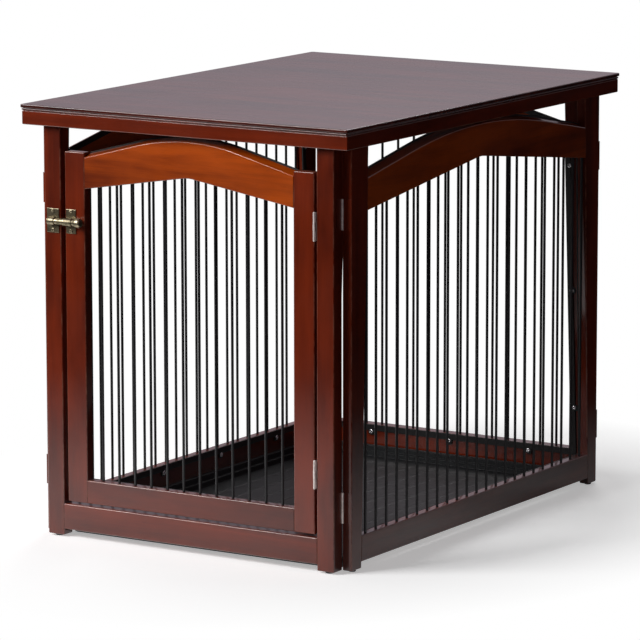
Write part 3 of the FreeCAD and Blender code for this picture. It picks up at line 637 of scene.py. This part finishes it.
def gable_height(u, peak, slope, soften):
    """Line that falls to both sides of u = 0 by the slope, its peak softened by an arc.

    With R = soften and t = atan(slope), the height is peak - R + sqrt(R^2 - u^2) where
    |u| < R sin t, and the arc's tangent of that slope beyond."""
    tilt = math.atan(slope)
    reach = soften * math.sin(tilt)
    arc = peak - soften + np.sqrt(soften ** 2 - np.minimum(np.abs(u), reach) ** 2)
    line = peak - soften * (1 - math.cos(tilt)) - slope * (np.abs(u) - reach)
    return np.where(np.abs(u) < reach, arc, line)


# Upper and under edge of the arched rails: (peak, slope, softening radius). The upper edge is
# higher on the inside than on the outside by the rise.
DOOR_ARCH = ((0.6253, 0.26, 0.35), (0.5703, 0.163, 0.06))
BACK_ARCH = ((0.6220, 0.26, 0.35), (0.5703, 0.163, 0.06))
SIDE_ARCH = ((0.6280, 0.19, 1.10), (0.5775, 0.127, 0.08))
ARCH_RISE = 0.005


def upright(panel, across, depth):
    """Corners of an upright stick's section, from those across the panel and through it."""
    depth = np.broadcast_to(depth, across.shape)
    return np.stack([across, depth] if panel == "x" else [depth, across], -1)


def post(panel, side, half, outer, inner, low, high, width):
    """Post of a panel that runs along x or y.

    Its outer edge is upright at half the panel's width, its inner edge lies width(z) inwards."""
    def section(places):
        edge = np.full(len(places), side * half)
        inward = side * (half - width(places))
        across = np.stack([edge, inward, inward, edge], 1)
        return upright(panel, across, [outer, outer, inner, inner])
    return stick("z", low, high, section, POST_ROUND, 12, POST_END_ROUND)


def rail(panel, half_at, outer, inner, low, high):
    """Straight rail between two posts.

    half_at(z) is half the gap between them, and stretches the ends to the posts' taper."""
    ref = half_at(0.5 * (low + high))
    corners = np.array([[outer, low], [outer, high], [inner, high], [inner, low]])
    return stick(panel, -ref, ref, unchanging(corners), RAIL_ROUND, 6, JOINT_ROUND,
                 lambda points: half_at(points[..., 2]) / ref)


def arch_rail(panel, half_at, outer, inner, upper, lower):
    """Arched rail between two posts; upper and lower describe its edges for gable_height.

    At each place the section runs from the lower edge to the upper one, which rises by
    ARCH_RISE from the outer to the inner face. The ends follow the posts' taper."""
    ref = half_at(lower[0])

    def section(places):
        under = gable_height(places, *lower)
        top = gable_height(places, *upper)
        height = np.stack([under, top, top + ARCH_RISE, under], 1)
        depth = np.tile([outer, outer, inner, inner], (len(places), 1))
        return np.stack([depth, height], -1)
    return stick(panel, -ref, ref, section, ARCH_ROUND, 64, JOINT_ROUND,
                 lambda points: half_at(points[..., 2]) / ref)


def bars(node):
    """Round bars where the node's flat-sided ones stand."""
    solids = []
    for low, high in islands(node):
        centre = ((low[0] + high[0]) / 2, (low[1] + high[1]) / 2, low[2])
        solids.append(turned(barrel(high[2] - low[2], BAR_R, BAR_EASE), centre, UP, 16))
    return solids


def screw_head(centre, direction, radius, height, slot=0.0, sides=32, rings=9):
    """Domed head with a cross recess.

    Over the head, r runs from 1 at the rim to 0 in the middle. The height is
    h (0.35 + 0.65 sqrt(1 - r^2)), less half of h in the recess. That lies where r < 0.58 and
    |x| or |y| < 0.08, and fades out over the next 0.08 of r and 0.05 of x or y."""
    axis, u, v = axis_frame(direction)
    turn = Matrix.Rotation(slot, 3, axis)
    u, v = np.array(turn @ u), np.array(turn @ v)
    r = np.cos(np.linspace(0, math.pi / 2, rings + 1))[:-1, None]
    r = np.concatenate([[[1.0]], r])
    angle = np.linspace(0, 2 * math.pi, sides, endpoint=False)[None]
    x, y = r * np.cos(angle), r * np.sin(angle)
    dome = 0.35 + 0.65 * np.sqrt(np.maximum(0.0, 1 - r ** 2))
    cross = np.clip((0.13 - np.minimum(np.abs(x), np.abs(y))) / 0.05, 0, 1)
    cross = cross * np.clip((0.66 - r) / 0.08, 0, 1)
    lift = height * (dome - 0.5 * cross)
    lift[0] = 0.0
    points = np.array(centre) + lift[..., None] * np.array(axis)
    points = points + radius * (x[..., None] * u + y[..., None] * v)
    marks = np.clip(1 - cross, 0, 1) * 0.6
    return loft(points, marks)


LINING_SCREW_R = 0.0036
LINING_SCREW_H = 0.0014


def lining_screws(node):
    """Screw heads where the node's solids are; each faces the middle of the cabin."""
    solids = []
    for number, (low, high) in enumerate(islands(node)):
        middle = (low + high) / 2
        flat = int(np.argmin(high - low))
        direction = np.zeros(3)
        direction[flat] = -np.sign(middle[flat])
        base = middle.copy()
        base[flat] = high[flat] if middle[flat] > 0 else low[flat]
        solids.append(screw_head(base, direction, LINING_SCREW_R, LINING_SCREW_H, 0.7 * number))
    return solids


LINING_T = 0.002
LINING_W = 0.010
LINING_EASE = 0.0003
LINING_BELOW = 0.003
LINING_ABOVE = 0.002
EAR_R = 0.006
EAR_T = 0.0019
NEAR = 0.004


def lining(panel, half_at, face, inward, low, upper, lower, screws):
    """Steel lining on a panel's inner face.

    Strips run up both sides of the opening, along its foot, along the arch's underside and
    behind its upper edge, and an ear lies under each screw. face is the wood's inner face and
    inward the sign of the way into the cabin."""
    near, far = sorted((face, face + inward * LINING_T))
    depth = [near, near, far, far]
    arch_ref = half_at(lower[0])
    high = upper[0] - LINING_ABOVE

    def side_strip(sign):
        """Upright strip whose inner edge follows the post's taper."""
        def section(places):
            inner = sign * half_at(places)
            outer = sign * (half_at(places) + LINING_W)
            return upright(panel, np.stack([inner, outer, outer, inner], 1), depth)
        end = gable_height(half_at(high), *upper) + ARCH_RISE
        return stick("z", low, float(end), section, LINING_EASE, 4)

    def along(edge, below, above):
        """Strip that follows one edge of the arch, from below it to above it."""
        def section(places):
            bottom = gable_height(places, *edge) - below
            top = gable_height(places, *edge) + above
            height = np.stack([bottom, top, top, bottom], 1)
            return np.stack([np.broadcast_to(depth, height.shape), height], -1)
        return stick(panel, -arch_ref, arch_ref, section, LINING_EASE, 48, LINING_EASE,
                     lambda points: half_at(points[..., 2]) / arch_ref)

    foot_half = half_at(low) + LINING_W
    foot = np.array([[near, low - LINING_W], [near, low], [far, low], [far, low - LINING_W]])
    solids = [side_strip(-1), side_strip(1),
              stick(panel, -foot_half, foot_half, unchanging(foot), LINING_EASE),
              along(lower, 0.0, LINING_W), along(upper, LINING_BELOW, ARCH_RISE + LINING_ABOVE)]
    depth_axis = AXES[panel][1]
    direction = np.zeros(3)
    direction[depth_axis] = inward
    for low_corner, high_corner in screws:
        centre = (low_corner + high_corner) / 2
        centre[depth_axis] = face
        solids.append(turned(barrel(EAR_T, EAR_R, LINING_EASE), centre, direction, 28))
    return solids


def near_face(node, axis, face):
    """The islands of a node that stand within 4 mm of the plane where the given axis is face."""
    return [pair for pair in islands(node)
            if np.abs(np.array(pair)[:, axis] - face).min() < NEAR]


# ---------------------------------------------------------------- the panels

for side, name in ((1, "right"), (-1, "left")):
    out, inn = side * SIDE_X, side * (SIDE_X - SIDE_T)
    for end, place in ((-1, "front"), (1, "rear")):
        piece("%s_%s_post" % (name, place),
              [post("y", end, SIDE_W / 2, out, inn, GLIDE_H, APRON_TOP, post_width)],
              "frame", WOOD["z"], ["%s_post_%s" % (name, place)])
    piece(name + "_low_rail", [rail("y", side_half, out, inn, RAIL_LOW, RAIL_TOP)],
          "frame", WOOD["y"], [name + "_bottom_rail"])
    piece(name + "_arched_rail", [arch_rail("y", side_half, out, inn, *SIDE_ARCH)],
          "frame", HIGHLIT_ARCH_WOOD["y"], [name + "_arch_rail"])
    piece(name + "_round_bars", bars(name + "_bars"),
          "frame", BLACK_BAR, [name + "_bars"])
    piece(name + "_steel_lining",
          lining("y", side_half, inn, -side, RAIL_TOP, *SIDE_ARCH,
                 near_face("lining_screws_frame", 0, inn)),
          "frame", BLACK_SHEET, [name + "_lining"])

for end, place in ((-1, "left"), (1, "right")):
    piece("rear_%s_post" % place,
          [post("x", end, PANEL_W / 2, BACK_Y, BACK_INNER, GLIDE_H, APRON_TOP, post_width)],
          "frame", WOOD["z"], ["back_post_" + place])
    piece("door_%s_post" % place,
          [post("x", end, PANEL_W / 2, FRONT_Y, FRONT_Y + FRONT_T, GLIDE_H, APRON_TOP,
                steady(DOOR_POST_W))],
          "frame", WOOD["z"], ["front_post_" + place])
piece("rear_low_rail", [rail("x", back_half, BACK_Y, BACK_INNER, RAIL_LOW, RAIL_TOP)],
      "frame", WOOD["x"], ["back_bottom_rail"])
piece("rear_arched_rail", [arch_rail("x", back_half, BACK_Y, BACK_INNER, *BACK_ARCH)],
      "frame", HIGHLIT_ARCH_WOOD["x"], ["back_arch_rail"])
piece("rear_round_bars", bars("back_bars"), "frame", BLACK_BAR, ["back_bars"])
piece("rear_steel_lining",
      lining("x", back_half, BACK_INNER, -1, RAIL_TOP, *BACK_ARCH,
             near_face("lining_screws_frame", 1, BACK_INNER)),
      "frame", BLACK_SHEET, ["back_lining"])
piece("threshold_rail", [rail("x", front_half, FRONT_Y, FRONT_Y + FRONT_T, RAIL_LOW, RAIL_TOP)],
      "frame", WOOD["x"], ["front_bottom_rail"])
piece("lining_screw_heads", lining_screws("lining_screws_frame"), "frame", ZINC,
      ["lining_screws_frame"], 60)

foot_solids = []
for low, high in islands("glides"):
    foot_r = max(high[0] - low[0], high[1] - low[1]) / 2
    foot = [(0.0, foot_r - 0.0012, 0.5), (0.0003, foot_r - 0.0006, 1.0), (0.001, foot_r, 0.4),
            (GLIDE_H, foot_r, 0.0)]
    centre = ((low[0] + high[0]) / 2, (low[1] + high[1]) / 2, 0.0)
    foot_solids.append(turned(foot, centre, UP, 28))
piece("round_glides", foot_solids, "frame", GLIDE_PLASTIC, ["glides"])


# ---------------------------------------------------------------- the door

for end, place in ((-1, "left"), (1, "right")):
    piece("door_%s_stile" % place,
          [post("x", end, DOOR_HALF, DOOR_Y, DOOR_INNER, DOOR_LOW, STILE_TOP,
                steady(DOOR_HALF - DOOR_OPEN))],
          "door", WOOD["z"], ["door_stile_" + place])
piece("door_low_rail", [rail("x", door_half, DOOR_Y, DOOR_INNER, DOOR_LOW, DOOR_RAIL_TOP)],
      "door", WOOD["x"], ["door_bottom_rail"])
piece("door_arched_rail", [arch_rail("x", door_half, DOOR_Y, DOOR_INNER, *DOOR_ARCH)],
      "door", HIGHLIT_ARCH_WOOD["x"], ["door_arch_rail"])
piece("door_round_bars", bars("door_bars"), "door", BLACK_BAR, ["door_bars"])
piece("door_steel_lining",
      lining("x", door_half, DOOR_INNER, 1, DOOR_RAIL_TOP, *DOOR_ARCH,
             near_face("lining_screws_door", 1, DOOR_INNER)),
      "door", BLACK_SHEET, ["door_lining"])
piece("door_lining_screw_heads", lining_screws("lining_screws_door"), "door", ZINC,
      ["lining_screws_door"], 60)


# ---------------------------------------------------------------- the top

def rounded_levels(inward, radius, low, high):
    """Levels of a slab with rounded edges: (inset, corner radius, height, mark).

    Below, the inset is inward + r (1 - sin t) at the height low + r (1 - cos t), with t from 0
    to a quarter turn. Above is its mirror image."""
    t = np.linspace(0, math.pi / 2, 5)
    lower = np.stack([inward + radius * (1 - np.sin(t)), np.full(5, BOARD_CORNER),
                      low + radius * (1 - np.cos(t)), np.sin(2 * t)], -1)
    upper = lower[::-1].copy()
    upper[:, 2] = low + high - upper[:, 2]
    return np.concatenate([lower, upper]).tolist()


# Moulded edge, from below: a bead, a groove and the lip
BEAD_TOP = APRON_TOP + 0.0027
GROOVE_TOP = APRON_TOP + 0.0036
GROOVE_IN = 0.0030
board_levels = rounded_levels(0.0012, 0.0009, APRON_TOP, BEAD_TOP)
board_levels += [(GROOVE_IN, BOARD_CORNER, height, 0.0) for height in (BEAD_TOP, GROOVE_TOP)]
board_levels += rounded_levels(0.0, 0.0014, GROOVE_TOP, TOTAL_H)
piece("table_board", [slab_stack(RIM_OUT_X + LIP, RIM_OUT_Y + LIP, board_levels)],
      "top", BOARD_WOOD, ["top_board"])

RECESS = 0.001
RIM_ROUND = np.array([0.0006, 0.0018, 0.0008, 0.0003, 0.0001, 0.0004])
RIM = {"x": (RIM_IN_Y, RIM_OUT_Y, RIM_OUT_X), "y": (RIM_IN_X, RIM_OUT_X, RIM_OUT_Y)}


def apron(panel, sign):
    """Mitred rim rail with a recessed line under the board.

    A point's place along the rail shrinks by as much as it lies inside the outer face."""
    inner, outer, ref = RIM[panel]
    corners = np.array([[inner, APRON_LOW], [outer, APRON_LOW], [outer, APRON_TOP - RECESS],
                        [outer - RECESS, APRON_TOP - RECESS], [outer - RECESS, APRON_TOP],
                        [inner, APRON_TOP]])
    corners[:, 0] *= sign
    across = AXES[panel][1]
    return stick(panel, -ref, ref, unchanging(corners), RIM_ROUND, 2, 0.00005,
                 lambda points: (ref - outer + np.abs(points[..., across])) / ref)


for panel, sign, name in (("x", -1, "front"), ("x", 1, "back"),
                          ("y", -1, "left"), ("y", 1, "right")):
    piece("rim_" + name, [apron(panel, sign)],
          "top", WOOD[panel], ["apron_" + name])


# ---------------------------------------------------------------- the tray

TRAY_HALF_X, TRAY_HALF_Y = 0.253, 0.371
WALL_OUT, BASE_OUT = 0.0055, 0.0115
WALL_IN, BASE_IN = 0.008, 0.014
RIB_COUNT = 11
RIB_FOOT, RIB_CREST = 0.0048, 0.0012
RIB_LOW, RIB_HIGH = 0.0024, 0.0031
RIB_END_GAP = 0.03
RIB_ROUND = np.array([0.0002, 0.0002, 0.0012, 0.0012])

# From the underside, up the outside and round the flange, then down the inside to the floor:
# (inset, corner radius, height, mark)
TRAY_LEVELS = (
    (BASE_OUT + 0.001, 0.009, 0.0, 0.3), (BASE_OUT, 0.010, 0.001, 1),
    (BASE_OUT, 0.010, 0.0085, 0), (WALL_OUT + 0.0008, 0.0115, 0.0085, 0),
    (WALL_OUT, 0.012, 0.0093, 0.3), (WALL_OUT, 0.012, 0.0175, 0), (0.0006, 0.0135, 0.0175, 0),
    (0.0, 0.014, 0.0181, 0.6), (0.0, 0.014, 0.0194, 0.8), (0.0006, 0.0135, 0.020, 1),
    (WALL_IN - 0.001, 0.011, 0.020, 0.7), (WALL_IN, 0.010, 0.019, 0.8), (WALL_IN, 0.010, 0.0118, 0),
    (WALL_IN + 0.0008, 0.0095, 0.011, 0), (BASE_IN - 0.0008, 0.009, 0.011, 0.4),
    (BASE_IN, 0.008, 0.0102, 0.5), (BASE_IN, 0.008, 0.0037, 0),
    (BASE_IN + 0.0012, 0.007, 0.0025, 0))


def tray_solids():
    """Shell as one stack of rounded rectangles, and low ribs along y, evenly spaced over x."""
    solids = [slab_stack(TRAY_HALF_X, TRAY_HALF_Y, TRAY_LEVELS)]
    pitch = 2 * (TRAY_HALF_X - BASE_IN) / (RIB_COUNT + 1)
    reach = TRAY_HALF_Y - BASE_IN - RIB_END_GAP
    for x in (np.arange(RIB_COUNT) - RIB_COUNT // 2) * pitch:
        corners = np.array([[x - RIB_FOOT, RIB_LOW], [x + RIB_FOOT, RIB_LOW],
                            [x + RIB_CREST, RIB_HIGH], [x - RIB_CREST, RIB_HIGH]])
        solids.append(stick("y", -reach, reach, unchanging(corners), RIB_ROUND, 2, 0.0002))
    return solids


piece("moulded_tray", tray_solids(), "tray", TRAY_PLASTIC, ["tray"], 50)


# ---------------------------------------------------------------- the hinges

def split_plate(axis, axis_at, reach, spans):
    """Cut a leaf at its knuckles' reach: the tab beside them and the rest of the plate."""
    low, high = spans[2 * axis], spans[2 * axis + 1]
    side = 1 if (low + high) / 2 > axis_at else -1
    edge = axis_at + side * reach
    near, far = (low, high) if side > 0 else (high, low)
    tab, rest = list(spans), list(spans)
    tab[2 * axis], tab[2 * axis + 1] = sorted((near, edge))
    rest[2 * axis], rest[2 * axis + 1] = sorted((edge, far))
    return tab, rest


LEAF_T = 0.001
LEAF_EASE = 0.0002
KNUCKLE_EASE = 0.0003
KNUCKLE_GAP = 0.00015
LEAF_GAP = 0.00035
PIN_SHARE = 0.5
PIN_CLEAR = 0.00005
PIN_HEAD_H = 0.0012


def hinge_parts(axis_at, z, length, radius, ends_leaf, middle_leaf, ends_axis, middle_axis, head):
    """Butt hinge of three knuckles whose middle stands at the height z.

    A leaf is (low x, high x, low y, high y) and stretches along its axis (0 or 1). One leaf
    carries both end knuckles, the other the middle one."""
    low, third = z - length / 2, length / 3
    first_top, middle_low = low + third - KNUCKLE_GAP, low + third + KNUCKLE_GAP
    middle_top, last_low = low + 2 * third - KNUCKLE_GAP, low + 2 * third + KNUCKLE_GAP
    bore = radius * PIN_SHARE + PIN_CLEAR
    centre = (*axis_at, 0.0)

    def plate(spans, bottom, top):
        """Flat part of a leaf between two heights."""
        x0, x1, y0, y1 = spans
        return bar_of("z", bottom, top, (x0, y0), (x1, y1), LEAF_EASE, LEAF_EASE)

    def knuckle(bottom, top):
        """Hollow rod round the pin between two heights."""
        profile = tube(top - bottom, radius, bore, KNUCKLE_EASE, bottom)
        return turned(profile, centre, UP, 24, True)

    def pin_head(bottom):
        """Low round button that ends the pin."""
        return turned(barrel(PIN_HEAD_H, radius * 0.85, 0.0004, bottom), centre, UP, 24)

    tab, rest = split_plate(ends_axis, axis_at[ends_axis], radius + LEAF_GAP, ends_leaf)
    ends = [knuckle(low, first_top), knuckle(last_low, low + length)]
    ends_plates = [plate(tab, low, first_top), plate(tab, last_low, low + length),
                   plate(rest, low, low + length)]
    tab, rest = split_plate(middle_axis, axis_at[middle_axis], radius + LEAF_GAP, middle_leaf)
    middle = [knuckle(middle_low, middle_top)]
    middle_plates = [plate(tab, middle_low, middle_top), plate(rest, low, low + length)]
    pin = [turned(barrel(length, radius * PIN_SHARE, 0.0002, low), centre, UP, 20)]
    if head:
        pin += [pin_head(low - PIN_HEAD_H), pin_head(low + length)]
    return ends, ends_plates, middle, middle_plates, pin


DOOR_HINGE_Z = (0.148, 0.517)
DOOR_HINGE_H = 0.041
DOOR_KNUCKLE_R = 0.0021
CORNER_HINGE_Z = (0.098, 0.535)
CORNER_HINGE_H = 0.046
CORNER_KNUCKLE_R = 0.0020
CORNER_PIN_OUT = 0.0022

door_axis = (DOOR_HALF + 0.00275, FRONT_Y - 0.0015)
on_post, on_door, door_pins = [], [], []
for z in DOOR_HINGE_Z:
    ends, ends_plates, middle, middle_plates, pin = hinge_parts(
        door_axis, z, DOOR_HINGE_H, DOOR_KNUCKLE_R,
        (FRONT_OPEN - LEAF_T, FRONT_OPEN, door_axis[1], door_axis[1] + 0.015),
        (DOOR_HALF, DOOR_HALF + LEAF_T, door_axis[1], door_axis[1] + 0.0165), 1, 1, True)
    on_post += ends + ends_plates
    on_door += middle + middle_plates
    door_pins += pin
piece("door_hinges_on_post", on_post, "frame", NICKEL,
      ["door_hinge_post_leaves"])
piece("door_hinges_on_door", on_door, "door", NICKEL,
      ["door_hinge_door_leaves"])
piece("door_hinge_headed_pins", door_pins, "frame", NICKEL,
      ["door_hinge_pins"])

corner_pins = []
for sx, sy, label in ((-1, -1, "front_left"), (1, -1, "front_right"), (-1, 1, "rear_left"),
                      (1, 1, "rear_right")):
    on_end, on_side, end_plates, side_plates = [], [], [], []
    end_x, side_y = sx * PANEL_W / 2, sy * SIDE_W / 2
    ax, ay = sx * (PANEL_W / 2 + CORNER_PIN_OUT), sy * (SIDE_W / 2 + CORNER_PIN_OUT)
    end_leaf = sorted((end_x, sx * (PANEL_W / 2 + LEAF_T))) + sorted((ay, ay + sy * 0.013))
    side_leaf = sorted((ax, ax + sx * 0.015)) + sorted((side_y, sy * (SIDE_W / 2 + LEAF_T)))
    for z in CORNER_HINGE_Z:
        parts = hinge_parts((ax, ay), z, CORNER_HINGE_H, CORNER_KNUCKLE_R, end_leaf, side_leaf,
                            1, 0, False)
        for pile, solids in zip((on_end, end_plates, on_side, side_plates, corner_pins), parts):
            pile.extend(solids)
    piece("corner_knuckles_%s_end" % label, on_end, "frame", NICKEL,
          ["corner_leaves_%s_end" % label])
    piece("corner_knuckles_%s_side" % label, on_side, "frame", NICKEL,
          ["corner_leaves_%s_side" % label])
    # The leaves are stained over with the posts
    piece("corner_plates_%s_end" % label, end_plates, "frame", WOOD["z"])
    piece("corner_plates_%s_side" % label, side_plates, "frame", WOOD["z"])
piece("corner_hinge_round_pins", corner_pins, "frame", NICKEL,
      ["corner_hinge_pins"])


# ---------------------------------------------------------------- the slide bolt

BOLT_Y = -0.4052
BOLT_Z = 0.4895
BOLT_R, BOLT_H = 0.00475, 0.043
PLATE_HALF_H, PLATE_T = 0.0185, 0.0015
PLATE_ROUND = np.array([0.0007, 0.0001, 0.0001, 0.0007])
KEEPER_X = (-0.253, -0.231)
BODY_X = (-0.220, -0.202)
LOOP_R, LOOP_BORE, LOOP_EASE = 0.0062, 0.00485, 0.0008
WEB_X = (-0.219, -0.203)
WEB_HALF_H = 0.0035


def plate_on_wood(low_x, high_x, wood_y):
    """Plate whose front edges are rounded over, standing on the wood."""
    return bar_of("x", low_x, high_x, (wood_y - PLATE_T, BOLT_Z - PLATE_HALF_H),
                  (wood_y, BOLT_Z + PLATE_HALF_H), PLATE_ROUND, 0.0005)


def loop(low_x, length, clip=None):
    """Tube that the bolt runs in."""
    return turned(tube(length, LOOP_R, LOOP_BORE, LOOP_EASE), (low_x, BOLT_Y, BOLT_Z), (1, 0, 0),
                  32, True, clip)


def behind_wood(wood_y):
    """Flatten what would reach into the wood: y is never past the wood's face."""
    def clip(points):
        points[..., 1] = np.minimum(points[..., 1], wood_y)
        return points
    return clip


keeper = [plate_on_wood(*KEEPER_X, FRONT_Y), loop(-0.247, 0.012, behind_wood(FRONT_Y))]
piece("bolt_keeper", keeper, "frame", BRASS, ["latch_keeper"])
latch_body = [plate_on_wood(*BODY_X, DOOR_Y),
              bar_of("x", *WEB_X, (BOLT_Y + 0.0052, BOLT_Z - WEB_HALF_H),
                     (DOOR_Y, BOLT_Z + WEB_HALF_H), 0.0004, 0.0004),
              loop(WEB_X[0], 0.016)]
piece("bolt_body", latch_body, "door", BRASS, ["latch_body"])
piece("bolt_rod",
      [turned(barrel(BOLT_H, BOLT_R, 0.0016), (-0.243, BOLT_Y, BOLT_Z), (1, 0, 0), 28)],
      "latch_bolt", BRASS, ["latch_bolt"])
# A neck, a groove and the round grip: (distance along the bolt, radius, mark)
knob_profile = [
    (0.0, 0.0050, 0.2), (0.0004, 0.0057, 0.8), (0.0012, 0.0060, 0.2), (0.0022, 0.0056, 0.0),
    (0.0031, 0.0058, 0.4), (0.0041, 0.0066, 1.0), (0.0054, 0.0072, 0.8), (0.0095, 0.0072, 0.4),
    (0.0111, 0.0069, 1.0), (0.0122, 0.0062, 1.0), (0.0128, 0.0050, 0.7), (0.0130, 0.0030, 0.3)]
piece("bolt_knob", [turned(knob_profile, (-0.200, BOLT_Y, BOLT_Z), (1, 0, 0), 32)],
      "latch_bolt", BRASS, ["latch_knob"])
for name, body, plate_x, wood_y in (("keeper", "frame", KEEPER_X, FRONT_Y),
                                    ("body", "door", BODY_X, DOOR_Y)):
    heads = [screw_head((sum(plate_x) / 2, wood_y - PLATE_T, BOLT_Z + s * 0.0148), (0, -1, 0),
                        0.0032, 0.0012, 0.4 * s) for s in (-1, 1)]
    piece("bolt_%s_screws" % name, heads, body, BRASS,
          ["latch_screws_" + name], 60)


# ---------------------------------------------------------------- kept nodes

def finish_node(name, material):
    """Give a kept node its material in every slot."""
    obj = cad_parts[name]
    if not obj.material_slots:
        obj.data.materials.append(material)
    for slot in obj.material_slots:
        slot.material = material


finish_node("front_head_rail", WOOD["x"])
finish_node("top_corner_blocks", WOOD["z"])


# ---------------------------------------------------------------- camera, floor and light

scene = bpy.context.scene


FOCAL_MM = 246.2
CAMERA_AZIMUTH, CAMERA_ELEVATION, CAMERA_ROLL = 32.0646, 9.9321, -0.0679
CAMERA_DISTANCE = 6.866111
CAMERA_ASIDE, CAMERA_RAISE = -0.013487, 0.298811


def make_camera():
    """The photo's camera, from the fit to its straight edges.

    It looks at a point above the origin, from the given angles in degrees and distance."""
    data = bpy.data.cameras.new("camera")
    data.sensor_width = 36.0
    data.lens = FOCAL_MM
    data.clip_start = 0.1
    data.clip_end = 60.0
    az, el, roll = np.radians([CAMERA_AZIMUTH, CAMERA_ELEVATION, CAMERA_ROLL]).tolist()
    ahead = Vector((-math.sin(az) * math.cos(el), math.cos(az) * math.cos(el), -math.sin(el)))
    right = Vector((math.cos(az), math.sin(az), 0.0))
    spot = right * CAMERA_ASIDE + Vector((0.0, 0.0, CAMERA_RAISE)) - ahead * CAMERA_DISTANCE
    turn = Matrix.Rotation(az, 4, "Z") @ Matrix.Rotation(math.pi / 2 - el, 4, "X")
    turn = turn @ Matrix.Rotation(roll, 4, "Z")
    obj = bpy.data.objects.new("camera", data)
    obj.matrix_world = Matrix.Translation(spot) @ turn
    scene.collection.objects.link(obj)
    scene.camera = obj


GLOW_SPOT = (-0.35, -0.62, 0.0)
SHINE_SPOT = (-0.25, -0.25, 0.0)
FLOOR_HALF = 12


def mix_shaders(tree, factor, first, second):
    """Blend two shaders' outputs by a socket."""
    node = tree.nodes.new("ShaderNodeMixShader")
    for value, socket in zip((factor, first, second), node.inputs):
        tree.links.new(value, socket)
    return node.outputs[0]


def make_floor():
    """Pale floor. It keeps the table's shadow and turns plain white further out.

    Only its part near the table shines in the lacquer, and little light bounces off it."""
    material, tree, shader = start_material("pale floor", Roughness=0.8, Specular_IOR_Level=0.0,
                                            Emission_Strength=1.0)
    vector = object_vector(tree)
    path = tree.nodes.new("ShaderNodeLightPath")
    to_camera, in_gloss = path.outputs["Is Camera Ray"], path.outputs["Is Glossy Ray"]
    seen = math_node(tree, "MAXIMUM", to_camera, in_gloss)
    mottle = remap(tree, noise(tree, vector, 3.0, 3.0), 0.2, 0.8, 0.90, 0.94)
    share = plus(tree, times(tree, seen, 0.62), 0.38)
    shown = remap(tree, distance(tree, vector, GLOW_SPOT), 0.40, 1.05, 0.62, 0.10)
    lift = plus(tree, times(tree, to_camera, 0.40), times(tree, in_gloss, shown))
    grey = tree.nodes.new("ShaderNodeCombineColor")
    glow = tree.nodes.new("ShaderNodeCombineColor")
    for i in range(3):
        tree.links.new(times(tree, mottle, share), grey.inputs[i])
        tree.links.new(lift, glow.inputs[i])
    tree.links.new(grey.outputs[0], shader.inputs["Base Color"])
    tree.links.new(glow.outputs[0], shader.inputs["Emission Color"])
    away = distance(tree, stretch(tree, vector, (1.25, 1.0, 1.0)), (0.0, 0.0, 0.0))
    white = tree.nodes.new("ShaderNodeEmission")
    far = times(tree, remap(tree, away, 0.55, 0.85), to_camera)
    surface = mix_shaders(tree, far, shader.outputs[0], white.outputs[0])
    unlit = tree.nodes.new("ShaderNodeEmission")
    unlit.inputs["Strength"].default_value = 0.0
    beyond = remap(tree, distance(tree, vector, SHINE_SPOT), 0.45, 1.5)
    surface = mix_shaders(tree, times(tree, beyond, in_gloss), surface, unlit.outputs[0])
    tree.links.new(surface, tree.nodes["Material Output"].inputs["Surface"])
    across = np.linspace(-FLOOR_HALF, FLOOR_HALF, 13)
    x, y = np.meshgrid(across, across, indexing="ij")
    n = len(across)
    corner = (np.arange(n - 1)[:, None] * n + np.arange(n - 1)).reshape(-1)
    faces = np.stack([corner, corner + n, corner + n + 1, corner + 1], -1)
    mesh = bpy.data.meshes.new("floor")
    mesh.from_pydata(np.stack([x, y, 0 * x], -1).reshape(-1, 3).tolist(), [], faces.tolist())
    mesh.materials.append(material)
    obj = bpy.data.objects.new("floor", mesh)
    scene.collection.objects.link(obj)


def area_lamp(name, spot, target, size, power):
    """Square lamp at a spot, facing a target; power in watts."""
    data = bpy.data.lights.new(name, "AREA")
    data.size = size
    data.energy = power
    obj = bpy.data.objects.new(name, data)
    obj.location = spot
    obj.rotation_euler = (Vector(target) - Vector(spot)).to_track_quat("-Z", "Y").to_euler()
    scene.collection.objects.link(obj)


def make_world():
    """White for the camera, a soft grey above for reflections, and dim fill for the rest."""
    world = bpy.data.worlds.new("studio")
    scene.world = world
    world.use_nodes = True
    tree = world.node_tree
    back = tree.nodes["Background"]
    path = tree.nodes.new("ShaderNodeLightPath")
    to_camera, in_gloss = path.outputs["Is Camera Ray"], path.outputs["Is Glossy Ray"]
    height = tree.nodes.new("ShaderNodeSeparateXYZ")
    tree.links.new(tree.nodes.new("ShaderNodeTexCoord").outputs["Generated"], height.inputs[0])
    upper = remap(tree, height.outputs["Z"], 0.0, 0.12, 0.05, 0.34)
    fill = times(tree, math_node(tree, "SUBTRACT", 1.0, in_gloss), 0.03)
    level = plus(tree, times(tree, upper, in_gloss), fill)
    level = math_node(tree, "MAXIMUM", level, to_camera)
    tree.links.new(level, back.inputs["Strength"])
    tint = blend_colours(tree, to_camera, (1.0, 0.86, 0.96), (1.0, 1.0, 1.0))
    tree.links.new(tint, back.inputs["Color"])


make_camera()
make_floor()
make_world()
area_lamp("key", (-2.2, -3.0, 2.6), (0.0, -0.1, 0.35), 2.0, 165.0)
area_lamp("back", (-1.0, 2.8, 3.2), (0.0, 0.0, 0.4), 1.6, 40.0)
scene.view_settings.view_transform = "Standard"
